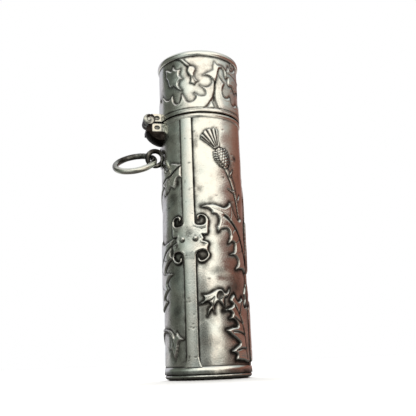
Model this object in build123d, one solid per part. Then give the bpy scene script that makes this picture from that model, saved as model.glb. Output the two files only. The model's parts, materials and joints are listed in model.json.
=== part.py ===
from build123d import *
import os
from math import cos, radians, sin, sqrt

os.makedirs("parts", exist_ok=True)

# Needle case: a silver tube with a hinged lid, a hinge on the -X side and a hanging ring under it.
# Millimetres. The origin is the centre of the flat under the base, +Z runs up the tube.

# Tube and lid
tube_radius = 8.3        # outside of the plain sheet
shell_wall = 0.3
body_height = 51.7       # base flat to the mouth face
lid_height = 14.4        # lid's mouth face to the top of its dome
mouth_gap = 0.3          # slit between the two mouth faces

# Base
base_rise = 1.05         # height of the rounded foot
base_flat_radius = 5.0
base_thickness = 0.45
ledge_width = 0.3        # ledge that carries the floor of the liner

# Gilt liner
liner_gap = 0.4          # air between the shell and the liner
liner_wall = 0.3
floor_thickness = 0.3
bezel_height = 2.5       # stands above the mouth, inside the lid
bezel_taper = 0.15       # taken off the outside of the bezel at its top
lid_clearance = 0.15     # radial room between the bezel and the lid
lid_ceiling_drop = 2.6   # from the top of the dome down to the lid liner's ceiling

# Bands, bead and dome
band_relief = 0.2
bead_relief = 0.3
band_flange = 0.3
base_band_height = 1.32
mouth_band_height = 0.9
bead_height = 1.25
dome_rise = 0.9
dome_rim = 0.3
dome_thickness = 0.4

# Straps
strap_angles = {"front": -120.8, "back": 59.2}   # about +Z, from +X
strap_width = 2.4
strap_relief = 0.25
strap_foot_width = 3.6
strap_foot_height = 2.2
cartouche_relief = 0.38
cartouche_height = 26.2  # middle of the cartouche
cartouche_width = 5.4
cartouche_length = 7.2
cartouche_waist = 1.1
volute_radius = 1.3
stud_radius = 0.42
stud_spacing = 2.55

# Hinge
pin_offset = 2.7         # pin axis outside the tube's surface
pin_lift = 0.75          # pin axis above the middle of the slit
pin_radius = 0.45
pin_clearance = 0.04     # between the pin and the lid's knuckle
barrel_radius = 1.15
barrel_clearance = 0.1   # round a knuckle of the other body
hinge_width = 3.8
centre_knuckle = 1.2
knuckle_gap = 0.05       # between the knuckles, along the pin
lug_reach = 2.35         # upper and lower lug, out from the surface
lug_thickness = 1.9
toe_reach = 3.3          # foot of the lower lug, under the knuckles
toe_height = 0.9
bracket_drop = 2.6
dimple_radius = 0.45
dimple_depth = 0.25

# Eye and ring
eye_gap = 2.6            # hole's centre below the bracket
eye_offset = 1.35        # hole's centre outside the tube's surface
eye_hole_radius = 1.2
eye_wire_radius = 0.46
plate_relief = 0.28
plate_half_width = 1.5
plate_margin = 0.15      # between the plate's top and the bracket
ring_radius = 4.05       # to the middle of the wire
ring_wire_radius = 0.575
ring_slack = 0.35        # the ring hangs this far off the hole's centre
ring_droop = 16.0        # outer end below level, degrees
ring_roll = 37.0         # front side lower than the back side, degrees

# Worked out from the sizes above
shell_bore = tube_radius - shell_wall
liner_radius = shell_bore - liner_gap
liner_bore = liner_radius - liner_wall
lid_bore = liner_radius + lid_clearance
lid_base = body_height + mouth_gap
case_height = lid_base + lid_height
lid_shell_top = case_height - dome_rise - dome_rim
floor_top = base_rise + floor_thickness
bezel_top = body_height + bezel_height
slit_middle = body_height + mouth_gap / 2
pin_x = -(tube_radius + pin_offset)
pin_z = slit_middle + pin_lift
bracket_bottom = body_height - lug_thickness - bracket_drop
eye_x = -(tube_radius + eye_offset)
eye_height = bracket_bottom - eye_gap
eye_ring_radius = eye_hole_radius + eye_wire_radius


def turned(points, arcs=None):
    """Revolve a closed (radius, height) outline about Z. arcs maps a side's index to its middle point."""
    arcs = arcs or {}
    sides = []
    for i, start in enumerate(points):
        end = points[(i + 1) % len(points)]
        a = (start[0], 0, start[1])
        b = (end[0], 0, end[1])
        if i in arcs:
            sides.append(ThreePointArc(a, (arcs[i][0], 0, arcs[i][1]), b))
        else:
            sides.append(Line(a, b))
    return revolve(make_face(Curve() + sides), Axis.Z)


def dome_middle(rim_radius, rim_height, top_height):
    """Point half way out on a spherical dome, as (radius, height)."""
    rise = top_height - rim_height
    sphere = (rim_radius ** 2 + rise ** 2) / (2 * rise)
    half = rim_radius / 2
    return half, top_height - sphere + sqrt(sphere ** 2 - half ** 2)


def tube(outer, inner, bottom, top):
    return turned([(inner, bottom), (outer, bottom), (outer, top), (inner, top)])


def wrapped(face, angle, inner, outer):
    """Raise a flat outline (x round the tube, y up) off the tube at an angle, between two radii."""
    reach = 2 * outer
    plane = Plane(origin=(0, 0, 0), x_dir=(-sin(radians(angle)), cos(radians(angle)), 0),
                  z_dir=(cos(radians(angle)), sin(radians(angle)), 0))
    block = plane * extrude(face, reach)
    return block & tube(outer, inner, 0, case_height)


def across(face, half_width):
    """Give an outline in the XZ plane a width to both sides of it."""
    return extrude(face, half_width, both=True)


def pin_bar(radius, start, end):
    """Bar along the hinge pin's axis, from one Y to another."""
    middle = (start + end) / 2
    return Pos(pin_x, middle, pin_z) * Rot(90, 0, 0) * Cylinder(radius, end - start)


def save(name, shape):
    export_step(shape, f"parts/{name}.step")


# --- Body ---

def body_shell():
    return tube(tube_radius, shell_bore, base_rise, body_height - band_flange)


def base_disc():
    inner_ledge = shell_bore - ledge_width
    foot_mid = ((base_flat_radius + tube_radius) / 2 + 0.55, base_rise * 0.36)
    inside_mid = ((base_flat_radius + inner_ledge) / 2 + 0.3, base_thickness + 0.13)
    points = [(0, 0), (base_flat_radius, 0), (tube_radius, base_rise), (inner_ledge, base_rise),
              (base_flat_radius, base_thickness), (0, base_thickness)]
    return turned(points, {1: foot_mid, 3: inside_mid})


def base_band():
    outer = tube_radius + band_relief
    top = base_rise + base_band_height
    points = [(tube_radius, base_rise), (outer - 0.05, base_rise), (outer - 0.05, top), (tube_radius, top)]
    return turned(points, {1: (outer, (base_rise + top) / 2)})


def body_liner():
    points = [(liner_bore, floor_top), (liner_radius, floor_top), (liner_radius, body_height),
              (liner_radius - bezel_taper, bezel_top), (liner_bore, bezel_top)]
    return turned(points)


def liner_floor():
    return Pos(0, 0, base_rise + floor_thickness / 2) * Cylinder(shell_bore, floor_thickness)


def mouth_band(inner, face, direction):
    """Flanged ring over a sheet's edge. direction is -1 when the sheet lies below the face."""
    outer = tube_radius + band_relief
    flange = face + direction * band_flange
    end = face + direction * mouth_band_height
    return turned([(inner, face), (outer, face), (outer, end), (tube_radius, end), (tube_radius, flange),
                   (inner, flange)])


# --- Straps ---

def strap(angle):
    bottom = base_rise + base_band_height
    top = body_height - mouth_band_height
    half = strap_width / 2
    foot = strap_foot_width / 2
    outline = Polyline([(-foot, bottom), (foot, bottom), (half, bottom + strap_foot_height), (half, top),
                        (-half, top), (-half, bottom + strap_foot_height)], close=True)
    return wrapped(make_face(outline), angle, tube_radius, tube_radius + strap_relief)


def cartouche(angle):
    """Scroll mount with a volute at each corner and a pinched waist, let over the strap."""
    half_width = cartouche_width / 2 - volute_radius / 2
    half_length = cartouche_length / 2 - volute_radius / 2
    outline = Rectangle(2 * half_width, 2 * half_length)
    for side in (-1, 1):
        outline -= Pos(side * (half_width + 0.25), 0) * Circle(cartouche_waist / 2)
        for end in (-1, 1):
            outline += Pos(side * half_width, end * half_length) * Circle(volute_radius)
    raised = wrapped(Pos(0, cartouche_height) * outline, angle, tube_radius, tube_radius + cartouche_relief)
    return raised - strap(angle)


def strap_studs():
    """Round studs on the arms of both cartouches, at either side of the strap."""
    seat = tube_radius + cartouche_relief
    keep_out = Pos(0, 0, case_height / 2) * Cylinder(seat, case_height)
    studs = []
    for angle in strap_angles.values():
        for side in (-1, 1):
            sideways = side * stud_spacing / 2
            outward = sqrt(seat ** 2 - sideways ** 2)
            ball = Rot(0, 0, angle) * Pos(outward, sideways, cartouche_height) * Sphere(stud_radius)
            studs.append(ball - keep_out)
    return Compound(children=studs)


# --- Hinge ---

def lug_block(points):
    """Lug cut from an outline in the XZ plane, seated on the tube."""
    outline = Polyline([(x, 0, z) for x, z in points], close=True)
    seat = Pos(0, 0, case_height / 2) * Cylinder(tube_radius, case_height)
    return across(make_face(outline), hinge_width / 2) - seat


def dimples(z):
    x = -(tube_radius + lug_reach * 0.45)
    holes = []
    for side in (-1, 1):
        y = side * (hinge_width / 2)
        holes.append(Pos(x, y, z) * Rot(90, 0, 0) * Cylinder(dimple_radius, 2 * dimple_depth))
    return holes


def body_lug():
    face = body_height
    bottom = face - lug_thickness
    wall_x = -(tube_radius - 0.5)
    near = -(tube_radius + lug_reach)
    toe = -(tube_radius + toe_reach)
    block = lug_block([(wall_x, bottom), (toe, bottom), (toe, bottom + toe_height), (near, face), (wall_x, face)])
    block -= mouth_band(liner_radius, body_height, -1)
    block -= pin_bar(barrel_radius, -hinge_width, hinge_width)
    room = centre_knuckle / 2 + knuckle_gap
    block -= pin_bar(barrel_radius + barrel_clearance, -room, room)
    for hole in dimples(face - lug_thickness * 0.5):
        block -= hole
    return block


def lid_lug():
    face = lid_base
    top = pin_z + barrel_radius
    wall_x = -(tube_radius - 0.5)
    block = lug_block([(wall_x, face), (pin_x, face), (pin_x, top), (wall_x, top)])
    block -= mouth_band(lid_bore, lid_base, 1)
    block -= pin_bar(barrel_radius, -hinge_width, hinge_width)
    room = centre_knuckle / 2
    for side in (-1, 1):
        start = min(side * room, side * hinge_width)
        end = max(side * room, side * hinge_width)
        block -= pin_bar(barrel_radius + barrel_clearance, start, end)
    for hole in dimples((face + top) / 2):
        block -= hole
    return block


def body_knuckles():
    inner = centre_knuckle / 2 + knuckle_gap
    outer = hinge_width / 2
    near = pin_bar(barrel_radius, -outer, -inner) - pin_bar(pin_radius, -hinge_width, hinge_width)
    far = pin_bar(barrel_radius, inner, outer) - pin_bar(pin_radius, -hinge_width, hinge_width)
    return Compound(children=[near, far])


def lid_knuckle():
    half = centre_knuckle / 2
    return pin_bar(barrel_radius, -half, half) - pin_bar(pin_radius + pin_clearance, -hinge_width, hinge_width)


def hinge_pin():
    return pin_bar(pin_radius, -hinge_width / 2, hinge_width / 2)


def hinge_bracket():
    """Rounded corbel under the lower lug."""
    top = body_height - lug_thickness
    profile = Plane.XZ * (Pos(0, 0) * Ellipse(toe_reach, bracket_drop))
    quarter = profile & (Plane.XZ * (Pos(toe_reach / 2, -bracket_drop / 2) * Rectangle(toe_reach, bracket_drop)))
    dome = Pos(-tube_radius, 0, top) * revolve(quarter, Axis.Z)
    width = Pos(-tube_radius, 0, top) * Box(4 * toe_reach, hinge_width, 4 * bracket_drop)
    seat = Pos(0, 0, case_height / 2) * Cylinder(tube_radius, case_height)
    return (dome & width) - seat


# --- Eye and ring ---

def eye_plate():
    outline = Pos(0, eye_height) * Ellipse(plate_half_width, eye_gap - plate_margin)
    return wrapped(outline, 180, tube_radius, tube_radius + plate_relief)


def ring_eye():
    loop = Pos(eye_x, 0, eye_height) * Rot(90, 0, 0) * Torus(eye_ring_radius, eye_wire_radius)
    seat = Pos(0, 0, case_height / 2) * Cylinder(tube_radius + plate_relief, case_height)
    return loop - seat


def suspension_ring():
    droop = radians(ring_droop)
    roll = radians(-ring_roll)
    out = Vector(-cos(droop), 0, -sin(droop))
    side = Vector(sin(roll) * sin(droop), cos(roll), -sin(roll) * cos(droop))
    centre = Vector(eye_x, 0, eye_height) + out * (ring_radius + ring_slack)
    return Plane(origin=centre, x_dir=out, z_dir=out.cross(side)) * Torus(ring_radius, ring_wire_radius)


# --- Lid ---

def lid_shell():
    return tube(tube_radius, shell_bore, lid_base + band_flange, lid_shell_top)


def lid_liner():
    bottom = lid_base + band_flange
    ceiling = case_height - lid_ceiling_drop
    top = ceiling + floor_thickness
    return turned([(lid_bore, bottom), (shell_bore, bottom), (shell_bore, top), (0, top), (0, ceiling),
                   (lid_bore, ceiling)])


def lid_top_disc():
    rim_top = lid_shell_top + dome_rim
    inside_top = case_height - dome_thickness
    outside_mid = dome_middle(tube_radius, rim_top, case_height)
    inside_mid = dome_middle(shell_bore, lid_shell_top, inside_top)
    points = [(0, inside_top), (shell_bore, lid_shell_top), (tube_radius, lid_shell_top),
              (tube_radius, rim_top), (0, case_height)]
    return turned(points, {0: inside_mid, 3: outside_mid})


def lid_top_bead():
    outer = tube_radius + bead_relief
    top = lid_shell_top + dome_rim
    bottom = top - bead_height
    points = [(tube_radius, bottom), (outer - 0.12, bottom), (outer - 0.12, top), (tube_radius, top)]
    return turned(points, {1: (outer, (bottom + top) / 2)})


save("body_shell", body_shell())
save("base_disc", base_disc())
save("base_band", base_band())
save("body_liner", body_liner())
save("liner_floor", liner_floor())
save("body_mouth_band", mouth_band(liner_radius, body_height, -1))
for place, angle in strap_angles.items():
    save(f"{place}_strap", strap(angle))
    save(f"{place}_cartouche", cartouche(angle))
save("strap_studs", strap_studs())
save("hinge_bracket", hinge_bracket())
save("hinge_body_lug", body_lug())
save("hinge_body_knuckles", body_knuckles())
save("hinge_pin", hinge_pin())
save("ring_eye_plate", eye_plate())
save("ring_eye", ring_eye())
save("lid_shell", lid_shell())
save("lid_liner", lid_liner())
save("lid_top_disc", lid_top_disc())
save("lid_top_bead", lid_top_bead())
save("lid_mouth_band", mouth_band(lid_bore, lid_base, 1))
save("hinge_lid_lug", lid_lug())
save("hinge_lid_knuckle", lid_knuckle())
save("suspension_ring", suspension_ring())
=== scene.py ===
import json
from math import asin, atan2, cos, pi, radians, sin, sqrt

import bmesh
import bpy
import numpy as np
from mathutils import Matrix, Vector


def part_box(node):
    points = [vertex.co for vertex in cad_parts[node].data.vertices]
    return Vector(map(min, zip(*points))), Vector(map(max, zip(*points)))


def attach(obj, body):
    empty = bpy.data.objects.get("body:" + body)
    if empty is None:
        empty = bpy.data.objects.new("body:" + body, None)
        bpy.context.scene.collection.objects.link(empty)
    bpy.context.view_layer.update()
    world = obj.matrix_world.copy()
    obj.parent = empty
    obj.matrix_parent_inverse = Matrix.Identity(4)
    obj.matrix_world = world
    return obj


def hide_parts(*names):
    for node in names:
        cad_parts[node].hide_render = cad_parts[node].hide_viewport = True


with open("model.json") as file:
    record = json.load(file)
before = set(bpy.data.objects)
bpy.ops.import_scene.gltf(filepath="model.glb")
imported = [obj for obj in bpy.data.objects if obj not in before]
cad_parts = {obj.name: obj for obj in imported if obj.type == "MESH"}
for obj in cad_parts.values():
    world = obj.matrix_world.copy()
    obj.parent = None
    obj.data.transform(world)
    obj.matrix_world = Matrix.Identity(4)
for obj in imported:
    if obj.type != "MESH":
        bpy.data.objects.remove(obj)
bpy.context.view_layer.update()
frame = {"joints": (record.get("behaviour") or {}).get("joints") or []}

mm = 0.001
print("frame loaded")


# What the frame says, in millimetres

def nodeBox(node):
    low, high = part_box(node)
    return Vector(low) / mm, Vector(high) / mm


def jointAt(name):
    for joint in frame["joints"]:
        if joint["name"] == name:
            return Vector(joint["pos_m"]) / mm


sheetLow, sheetHigh = nodeBox("body_shell")
lidLow, lidHigh = nodeBox("lid_shell")
strapLow, strapHigh = nodeBox("front_strap")
bandHigh = nodeBox("base_band")[1]
tubeRadius = sheetHigh.x
strapMiddle = (strapLow + strapHigh) / 2
frontAngle = atan2(strapMiddle.x, -strapMiddle.y)   # front strap, from -Y round towards +X
halfRound = pi * tubeRadius                         # from the front strap to the back one, along the sheet
pinAt = jointAt("lid_hinge")
eyeAt = jointAt("ring_swing")
seed = np.random.default_rng(11)

# Outlines are in millimetres round the sheet and up it; this is where their zero lies from the front strap
drawnFrom = {"right": 3.05, "up": 0.68}
sharpAngle = {"piece": 38, "relief": 60}            # degrees above which an edge stays crisp
weldDistance = 0.0005


def bell(distance, width):
    return np.exp(-(distance / width) ** 2)


def rounded(t):
    # quarter circle, 0 to 1
    return np.sqrt(1 - (1 - t) ** 2)


# Materials

def newMaterial(name):
    material = bpy.data.materials.new(name)
    material.use_nodes = True
    tree = material.node_tree
    shader = tree.nodes["Principled BSDF"]
    return material, tree, shader


def addNode(tree, kind, **values):
    node = tree.nodes.new(kind)
    for key, value in values.items():
        if key in node.inputs:
            node.inputs[key].default_value = value
        else:
            setattr(node, key, value)
    return node


def colourRamp(tree, source, stops):
    ramp = tree.nodes.new("ShaderNodeValToRGB")
    elements = ramp.color_ramp.elements
    while len(elements) < len(stops):
        elements.new(0.5)
    for element, (place, colour) in zip(elements, stops):
        element.position = place
        element.color = (*colour, 1)
    tree.links.new(source, ramp.inputs["Fac"])
    return ramp


def noiseTexture(tree, coordinates, scale, detail=4.0, roughness=0.55, stretch=None):
    noise = addNode(tree, "ShaderNodeTexNoise", Scale=scale, Detail=detail, Roughness=roughness)
    if stretch:
        mapping = addNode(tree, "ShaderNodeMapping")
        mapping.inputs["Scale"].default_value = stretch
        tree.links.new(coordinates, mapping.inputs["Vector"])
        coordinates = mapping.outputs["Vector"]
    tree.links.new(coordinates, noise.inputs["Vector"])
    return noise


def mathNode(tree, operation, first, second=None, clamp=False):
    node = tree.nodes.new("ShaderNodeMath")
    node.operation = operation
    node.use_clamp = clamp
    for socket, value in zip(node.inputs, (first, second)):
        if value is None:
            continue
        if isinstance(value, (int, float)):
            socket.default_value = value
        else:
            tree.links.new(value, socket)
    return node.outputs["Value"]


# what every silver starts from; a piece's own silver changes some of it
silver = {
    "bright": (0.92, 0.905, 0.86), "dull": (0.46, 0.455, 0.43), "dark": (0.030, 0.028, 0.026),
    "smooth": 0.17, "rough": 0.46,          # polish when clean and when black
    "cloud": 700.0, "cloudAmount": 0.40,    # patches: how fine, how strong
    "broadScale": 0.36, "speckScale": 5.5, "scratchScale": 9,
    "patch": 0.9, "dirt": 0.0,              # broad worn patches, and dirt all over
    "scratch": 0.4, "scratchDepth": 0.00004, "waves": 0.0,
}


def agedSilver(name, **changes):
    # the darkening mixes the laid tarnish and painted shade with three sizes of noise, and drives both colour
    # and polish
    finish = {**silver, **changes}
    cloud, cloudAmount = finish["cloud"], finish["cloudAmount"]
    material, tree, shader = newMaterial(name)
    coordinates = addNode(tree, "ShaderNodeTexCoord").outputs["Object"]
    tarnish = addNode(tree, "ShaderNodeAttribute", attribute_name="tarnish").outputs["Fac"]
    broad = noiseTexture(tree, coordinates, cloud * finish["broadScale"], 5.0, 0.62).outputs["Fac"]
    clouds = noiseTexture(tree, coordinates, cloud, 5.0, 0.6).outputs["Fac"]
    specks = noiseTexture(tree, coordinates, cloud * finish["speckScale"], 3.0, 0.6).outputs["Fac"]
    worn = mathNode(tree, "MULTIPLY", mathNode(tree, "SUBTRACT", broad, 0.52, clamp=True), finish["patch"])
    patchy = mathNode(tree, "MULTIPLY", mathNode(tree, "SUBTRACT", clouds, 0.5), cloudAmount)
    spotty = mathNode(tree, "MULTIPLY", mathNode(tree, "SUBTRACT", specks, 0.5), cloudAmount * 0.7)
    uneven = mathNode(tree, "ADD", mathNode(tree, "MULTIPLY", clouds, 0.8), 0.6)
    laid = mathNode(tree, "MULTIPLY", tarnish, uneven)
    sootAndShade = mathNode(tree, "ADD", mathNode(tree, "ADD", laid, patchy), mathNode(tree, "ADD", spotty, worn))
    sootAndShade = mathNode(tree, "ADD", sootAndShade, finish["dirt"])
    brown = tuple(c * 3.0 for c in finish["dark"])
    colour = colourRamp(tree, sootAndShade, [(0.04, finish["bright"]), (0.32, finish["dull"]), (0.66, brown),
                                     (0.98, finish["dark"])])
    tint = colourRamp(tree, broad, [(0.38, (0.94, 1.0, 1.0)), (0.58, (1.0, 0.995, 0.97))])
    toned = addNode(tree, "ShaderNodeMix", data_type="RGBA", blend_type="MULTIPLY")
    toned.inputs["Factor"].default_value = 1.0
    tree.links.new(colour.outputs["Color"], toned.inputs[6])
    tree.links.new(tint.outputs["Color"], toned.inputs[7])
    tree.links.new(toned.outputs[2], shader.inputs["Base Color"])
    shader.inputs["Metallic"].default_value = 1.0
    scratches = noiseTexture(tree, coordinates, cloud * finish["scratchScale"], 2.0, 0.7,
                             stretch=(1.0, 1.0, 0.16)).outputs["Fac"]
    sheen = mathNode(tree, "ADD", mathNode(tree, "MULTIPLY", clouds, 0.16),
                     mathNode(tree, "MULTIPLY", scratches, 0.12))
    dullness = mathNode(tree, "MULTIPLY", sootAndShade, finish["rough"] - finish["smooth"])
    shine = mathNode(tree, "ADD", sheen, dullness)
    polish = mathNode(tree, "ADD", shine, finish["smooth"] - 0.14, clamp=True)
    tree.links.new(polish, shader.inputs["Roughness"])
    bump = addNode(tree, "ShaderNodeBump", Strength=finish["scratch"], Distance=finish["scratchDepth"])
    relief = mathNode(tree, "ADD", mathNode(tree, "MULTIPLY", scratches, 0.5), specks)
    relief = mathNode(tree, "ADD", relief, mathNode(tree, "MULTIPLY", clouds, finish["waves"]))
    tree.links.new(relief, bump.inputs["Height"])
    tree.links.new(bump.outputs["Normal"], shader.inputs["Normal"])
    return material


gilt = {
    "fresh": (0.95, 0.70, 0.30), "handled": (0.90, 0.66, 0.33), "thin": (0.74, 0.62, 0.45),
    "wearScale": 420.0, "drawnScale": 2600.0, "polish": 0.14, "grain": 0.2, "bump": 0.25,
    "bumpDepth": 0.00002,
}


def gilding(name):
    material, tree, shader = newMaterial(name)
    coordinates = addNode(tree, "ShaderNodeTexCoord").outputs["Object"]
    wear = noiseTexture(tree, coordinates, gilt["wearScale"], 5.0, 0.6).outputs["Fac"]
    colour = colourRamp(tree, wear, [(0.3, gilt["fresh"]), (0.62, gilt["handled"]), (0.78, gilt["thin"])])
    tree.links.new(colour.outputs["Color"], shader.inputs["Base Color"])
    shader.inputs["Metallic"].default_value = 1.0
    drawn = noiseTexture(tree, coordinates, gilt["drawnScale"], 2.0, 0.6,
                         stretch=(1.0, 1.0, 0.1)).outputs["Fac"]
    polish = mathNode(tree, "ADD", mathNode(tree, "MULTIPLY", drawn, gilt["grain"]), gilt["polish"])
    tree.links.new(polish, shader.inputs["Roughness"])
    bump = addNode(tree, "ShaderNodeBump", Strength=gilt["bump"], Distance=gilt["bumpDepth"])
    tree.links.new(drawn, bump.inputs["Height"])
    tree.links.new(bump.outputs["Normal"], shader.inputs["Normal"])
    return material


stampedSilver = agedSilver("stampedSilver")
strapSilver = agedSilver("strapSilver", smooth=0.19, cloudAmount=0.32, patch=0.5)
bandSilver = agedSilver("bandSilver", smooth=0.15, cloudAmount=0.34, cloud=520.0)
plainSilver = agedSilver("plainSilver", smooth=0.20, cloudAmount=0.80, cloud=420.0, patch=1.6, dirt=0.08,
                         waves=5.0)
castSilver = agedSilver("castSilver", bright=(0.84, 0.79, 0.70), dark=(0.014, 0.011, 0.010), smooth=0.24,
                        cloudAmount=0.50, cloud=900.0)
wireSilver = agedSilver("wireSilver", bright=(0.84, 0.83, 0.77), smooth=0.15, cloudAmount=0.55, cloud=480.0,
                        dirt=0.02)
giltSilver = gilding("giltSilver")
print("materials made")


# Making and placing pieces

def shadeSmooth(mesh, angle=sharpAngle["piece"]):
    mesh.polygons.foreach_set("use_smooth", [True] * len(mesh.polygons))
    mesh.set_sharp_from_angle(angle=radians(angle))


def finishPiece(name, bm, body, material, slotName, *nodes, sootAndShade=None):
    bmesh.ops.scale(bm, vec=(mm, mm, mm), verts=bm.verts)
    mesh = bpy.data.meshes.new(name)
    bm.to_mesh(mesh)
    bm.free()
    if sootAndShade:
        layTarnishAndShade(mesh, sootAndShade)
    return placePiece(name, mesh, body, material, slotName, *nodes)


def layTarnishAndShade(mesh, sootAndShade):
    # the rule takes x, y and z in millimetres and gives 0 for clean, 1 for black, for tarnish and painted
    # shade alike
    places = np.empty(len(mesh.vertices) * 3)
    mesh.vertices.foreach_get("co", places)
    x, y, z = (places.reshape(-1, 3) / mm).T
    amount = np.clip(sootAndShade(x, y, z), 0, 1) * np.ones(len(x))
    stainAndShade = mesh.attributes.get("tarnish") or mesh.attributes.new("tarnish", "FLOAT", "POINT")
    stainAndShade.data.foreach_set("value", amount)


def placePiece(name, mesh, body, material, slotName, *nodes, sharp=sharpAngle["piece"]):
    shadeSmooth(mesh, sharp)
    piece = bpy.data.objects.new(name, mesh)
    bpy.context.scene.collection.objects.link(piece)
    mesh.materials.append(material)
    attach(piece, body)
    if nodes:
        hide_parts(*nodes)
    return piece


def arcPoints(x, z, radius, start, end, steps):
    points = []
    for step in range(steps + 1):
        angle = radians(start + (end - start) * step / steps)
        points.append((x + radius * cos(angle), z + radius * sin(angle)))
    return points


def spunProfile(points, steps=240, soften=0.04):
    bm = bmesh.new()
    verts = [bm.verts.new((r, 0, z)) for r, z in points]
    for i, vert in enumerate(verts):
        follower = verts[(i + 1) % len(verts)]
        if vert.co.x > 0 or follower.co.x > 0:
            bm.edges.new((vert, follower))
    bmesh.ops.spin(bm, geom=bm.verts[:] + bm.edges[:], cent=(0, 0, 0), axis=(0, 0, 1), angle=2 * pi,
                   steps=steps, use_merge=True)
    bmesh.ops.remove_doubles(bm, verts=bm.verts, dist=weldDistance)
    bmesh.ops.dissolve_degenerate(bm, dist=weldDistance, edges=bm.edges)
    bmesh.ops.recalc_face_normals(bm, faces=bm.faces)
    softenEdges(bm, soften)
    return bm


def softenEdges(bm, width, angle=35, segments=2):
    if not width:
        return
    sharp = [e for e in bm.edges if len(e.link_faces) == 2 and e.calc_face_angle(0) > radians(angle)]
    bmesh.ops.bevel(bm, geom=sharp, offset=width, offset_type="OFFSET", affect="EDGES", segments=segments,
                    profile=0.5, material=-1, clamp_overlap=True)


# Relief: heights are worked out on a flat grid, which is then rolled round the tube

def gridSheet(left, right, low, high, pitch, turnIn):
    bm = bmesh.new()
    columns, rows = round((right - left) / pitch), round((high - low) / pitch)
    bmesh.ops.create_grid(bm, x_segments=columns, y_segments=rows, size=0.5)
    bmesh.ops.scale(bm, vec=(right - left, high - low, 1), verts=bm.verts)
    bmesh.ops.translate(bm, vec=((left + right) / 2, (low + high) / 2, 0), verts=bm.verts)
    if turnIn:
        edges = [e for e in bm.edges if e.is_boundary]
        turned = bmesh.ops.extrude_edge_only(bm, edges=edges)["geom"]
        rim = [v for v in turned if isinstance(v, bmesh.types.BMVert)]
        bmesh.ops.translate(bm, vec=(0, 0, -turnIn), verts=rim)
    return bm


def rollOn(name, bm, shape, body, material, slotName, *nodes, under=None):
    # shape works out the heights; what stays lower than under is cut away
    mesh = bpy.data.meshes.new(name)
    bm.to_mesh(mesh)
    bm.free()
    flat = np.empty(len(mesh.vertices) * 3)
    mesh.vertices.foreach_get("co", flat)
    flat = flat.reshape(-1, 3)
    field = {"x": flat[:, 0], "z": flat[:, 1], "height": np.zeros(len(flat)), "tarnish": np.zeros(len(flat))}
    shape(field)
    reach = tubeRadius + field["height"] + flat[:, 2]
    angle = frontAngle + field["x"] / tubeRadius
    rolled = np.stack([reach * np.sin(angle), -reach * np.cos(angle), field["z"]], axis=1) * mm
    mesh.vertices.foreach_set("co", rolled.ravel())
    stainAndShade = mesh.attributes.new("tarnish", "FLOAT", "POINT")
    stainAndShade.data.foreach_set("value", np.clip(field["tarnish"], 0, 1))
    if under is not None:
        trimmed = bmesh.new()
        trimmed.from_mesh(mesh)
        trimmed.verts.ensure_lookup_table()
        buried = [trimmed.verts[i] for i in np.nonzero(field["height"] < under)[0]]
        bmesh.ops.delete(trimmed, geom=buried, context="VERTS")
        trimmed.to_mesh(mesh)
        trimmed.free()
    mesh.update()
    return placePiece(name, mesh, body, material, slotName, *nodes, sharp=sharpAngle["relief"])


def onSheet(points):
    moved = []
    for point in points:
        moved.append((point[0] + drawnFrom["right"], point[1] + drawnFrom["up"], *point[2:]))
    return moved


def mirrored(points, middle):
    return [(2 * middle - point[0], *point[1:]) for point in points]


def smoothLine(points, closed, steps=6):
    # a point with a third entry is a sharp tip
    count = len(points)
    line = []
    spans = count if closed else count - 1
    for i in range(spans):
        before, start = np.array(points[i - 1][:2]), np.array(points[i][:2])
        end, after = np.array(points[(i + 1) % count][:2]), np.array(points[(i + 2) % count][:2])
        startTip = len(points[i]) > 2 or (not closed and i == 0)
        endTip = len(points[(i + 1) % count]) > 2 or (not closed and i == spans - 1)
        leave = (end - start) if startTip else (end - before) / 2
        arrive = (end - start) if endTip else (after - start) / 2
        for step in range(steps):
            t = step / steps
            line.append((2 * t ** 3 - 3 * t ** 2 + 1) * start + (t ** 3 - 2 * t ** 2 + t) * leave
                        + (3 * t ** 2 - 2 * t ** 3) * end + (t ** 3 - t ** 2) * arrive)
    if not closed:
        line.append(np.array(points[-1][:2]))
    return np.array(line)


def measure(field, line, reach, closed=True):
    # for the points of the sheet near a line: how far off, inside or not, and how far along the line
    low, high = line.min(axis=0) - reach, line.max(axis=0) + reach
    near = np.nonzero((field["x"] > low[0]) & (field["x"] < high[0])
                      & (field["z"] > low[1]) & (field["z"] < high[1]))[0]
    x, z = field["x"][near], field["z"][near]
    away = np.full(len(near), 1e9)
    along = np.zeros(len(near))
    inside = np.zeros(len(near), bool)
    spans = len(line) if closed else len(line) - 1
    for i in range(spans):
        ax, az = line[i]
        bx, bz = line[(i + 1) % len(line)]
        run = max((bx - ax) ** 2 + (bz - az) ** 2, 1e-12)
        t = np.clip(((x - ax) * (bx - ax) + (z - az) * (bz - az)) / run, 0, 1)
        gap = np.hypot(x - ax - t * (bx - ax), z - az - t * (bz - az))
        closer = gap < away
        away[closer] = gap[closer]
        along[closer] = ((i + t) / spans)[closer]
        if closed and az != bz:
            crossing = ((az > z) != (bz > z)) & (x < (bx - ax) * (z - az) / (bz - az) + ax)
            inside ^= crossing
    return near, away, inside, along


# how the chasing tool leaves an outline: a hollow along it, a fuller middle and a burr inside the edge, and
# how wide the painted shade and tarnish round it spread
chasing = {"reach": 1.6, "moat": 0.06, "moatWide": 0.35, "fullAt": 0.9, "burrIn": 0.28, "burrWide": 0.18,
           "lineWide": 0.14, "farHalo": 2.6}


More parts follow.
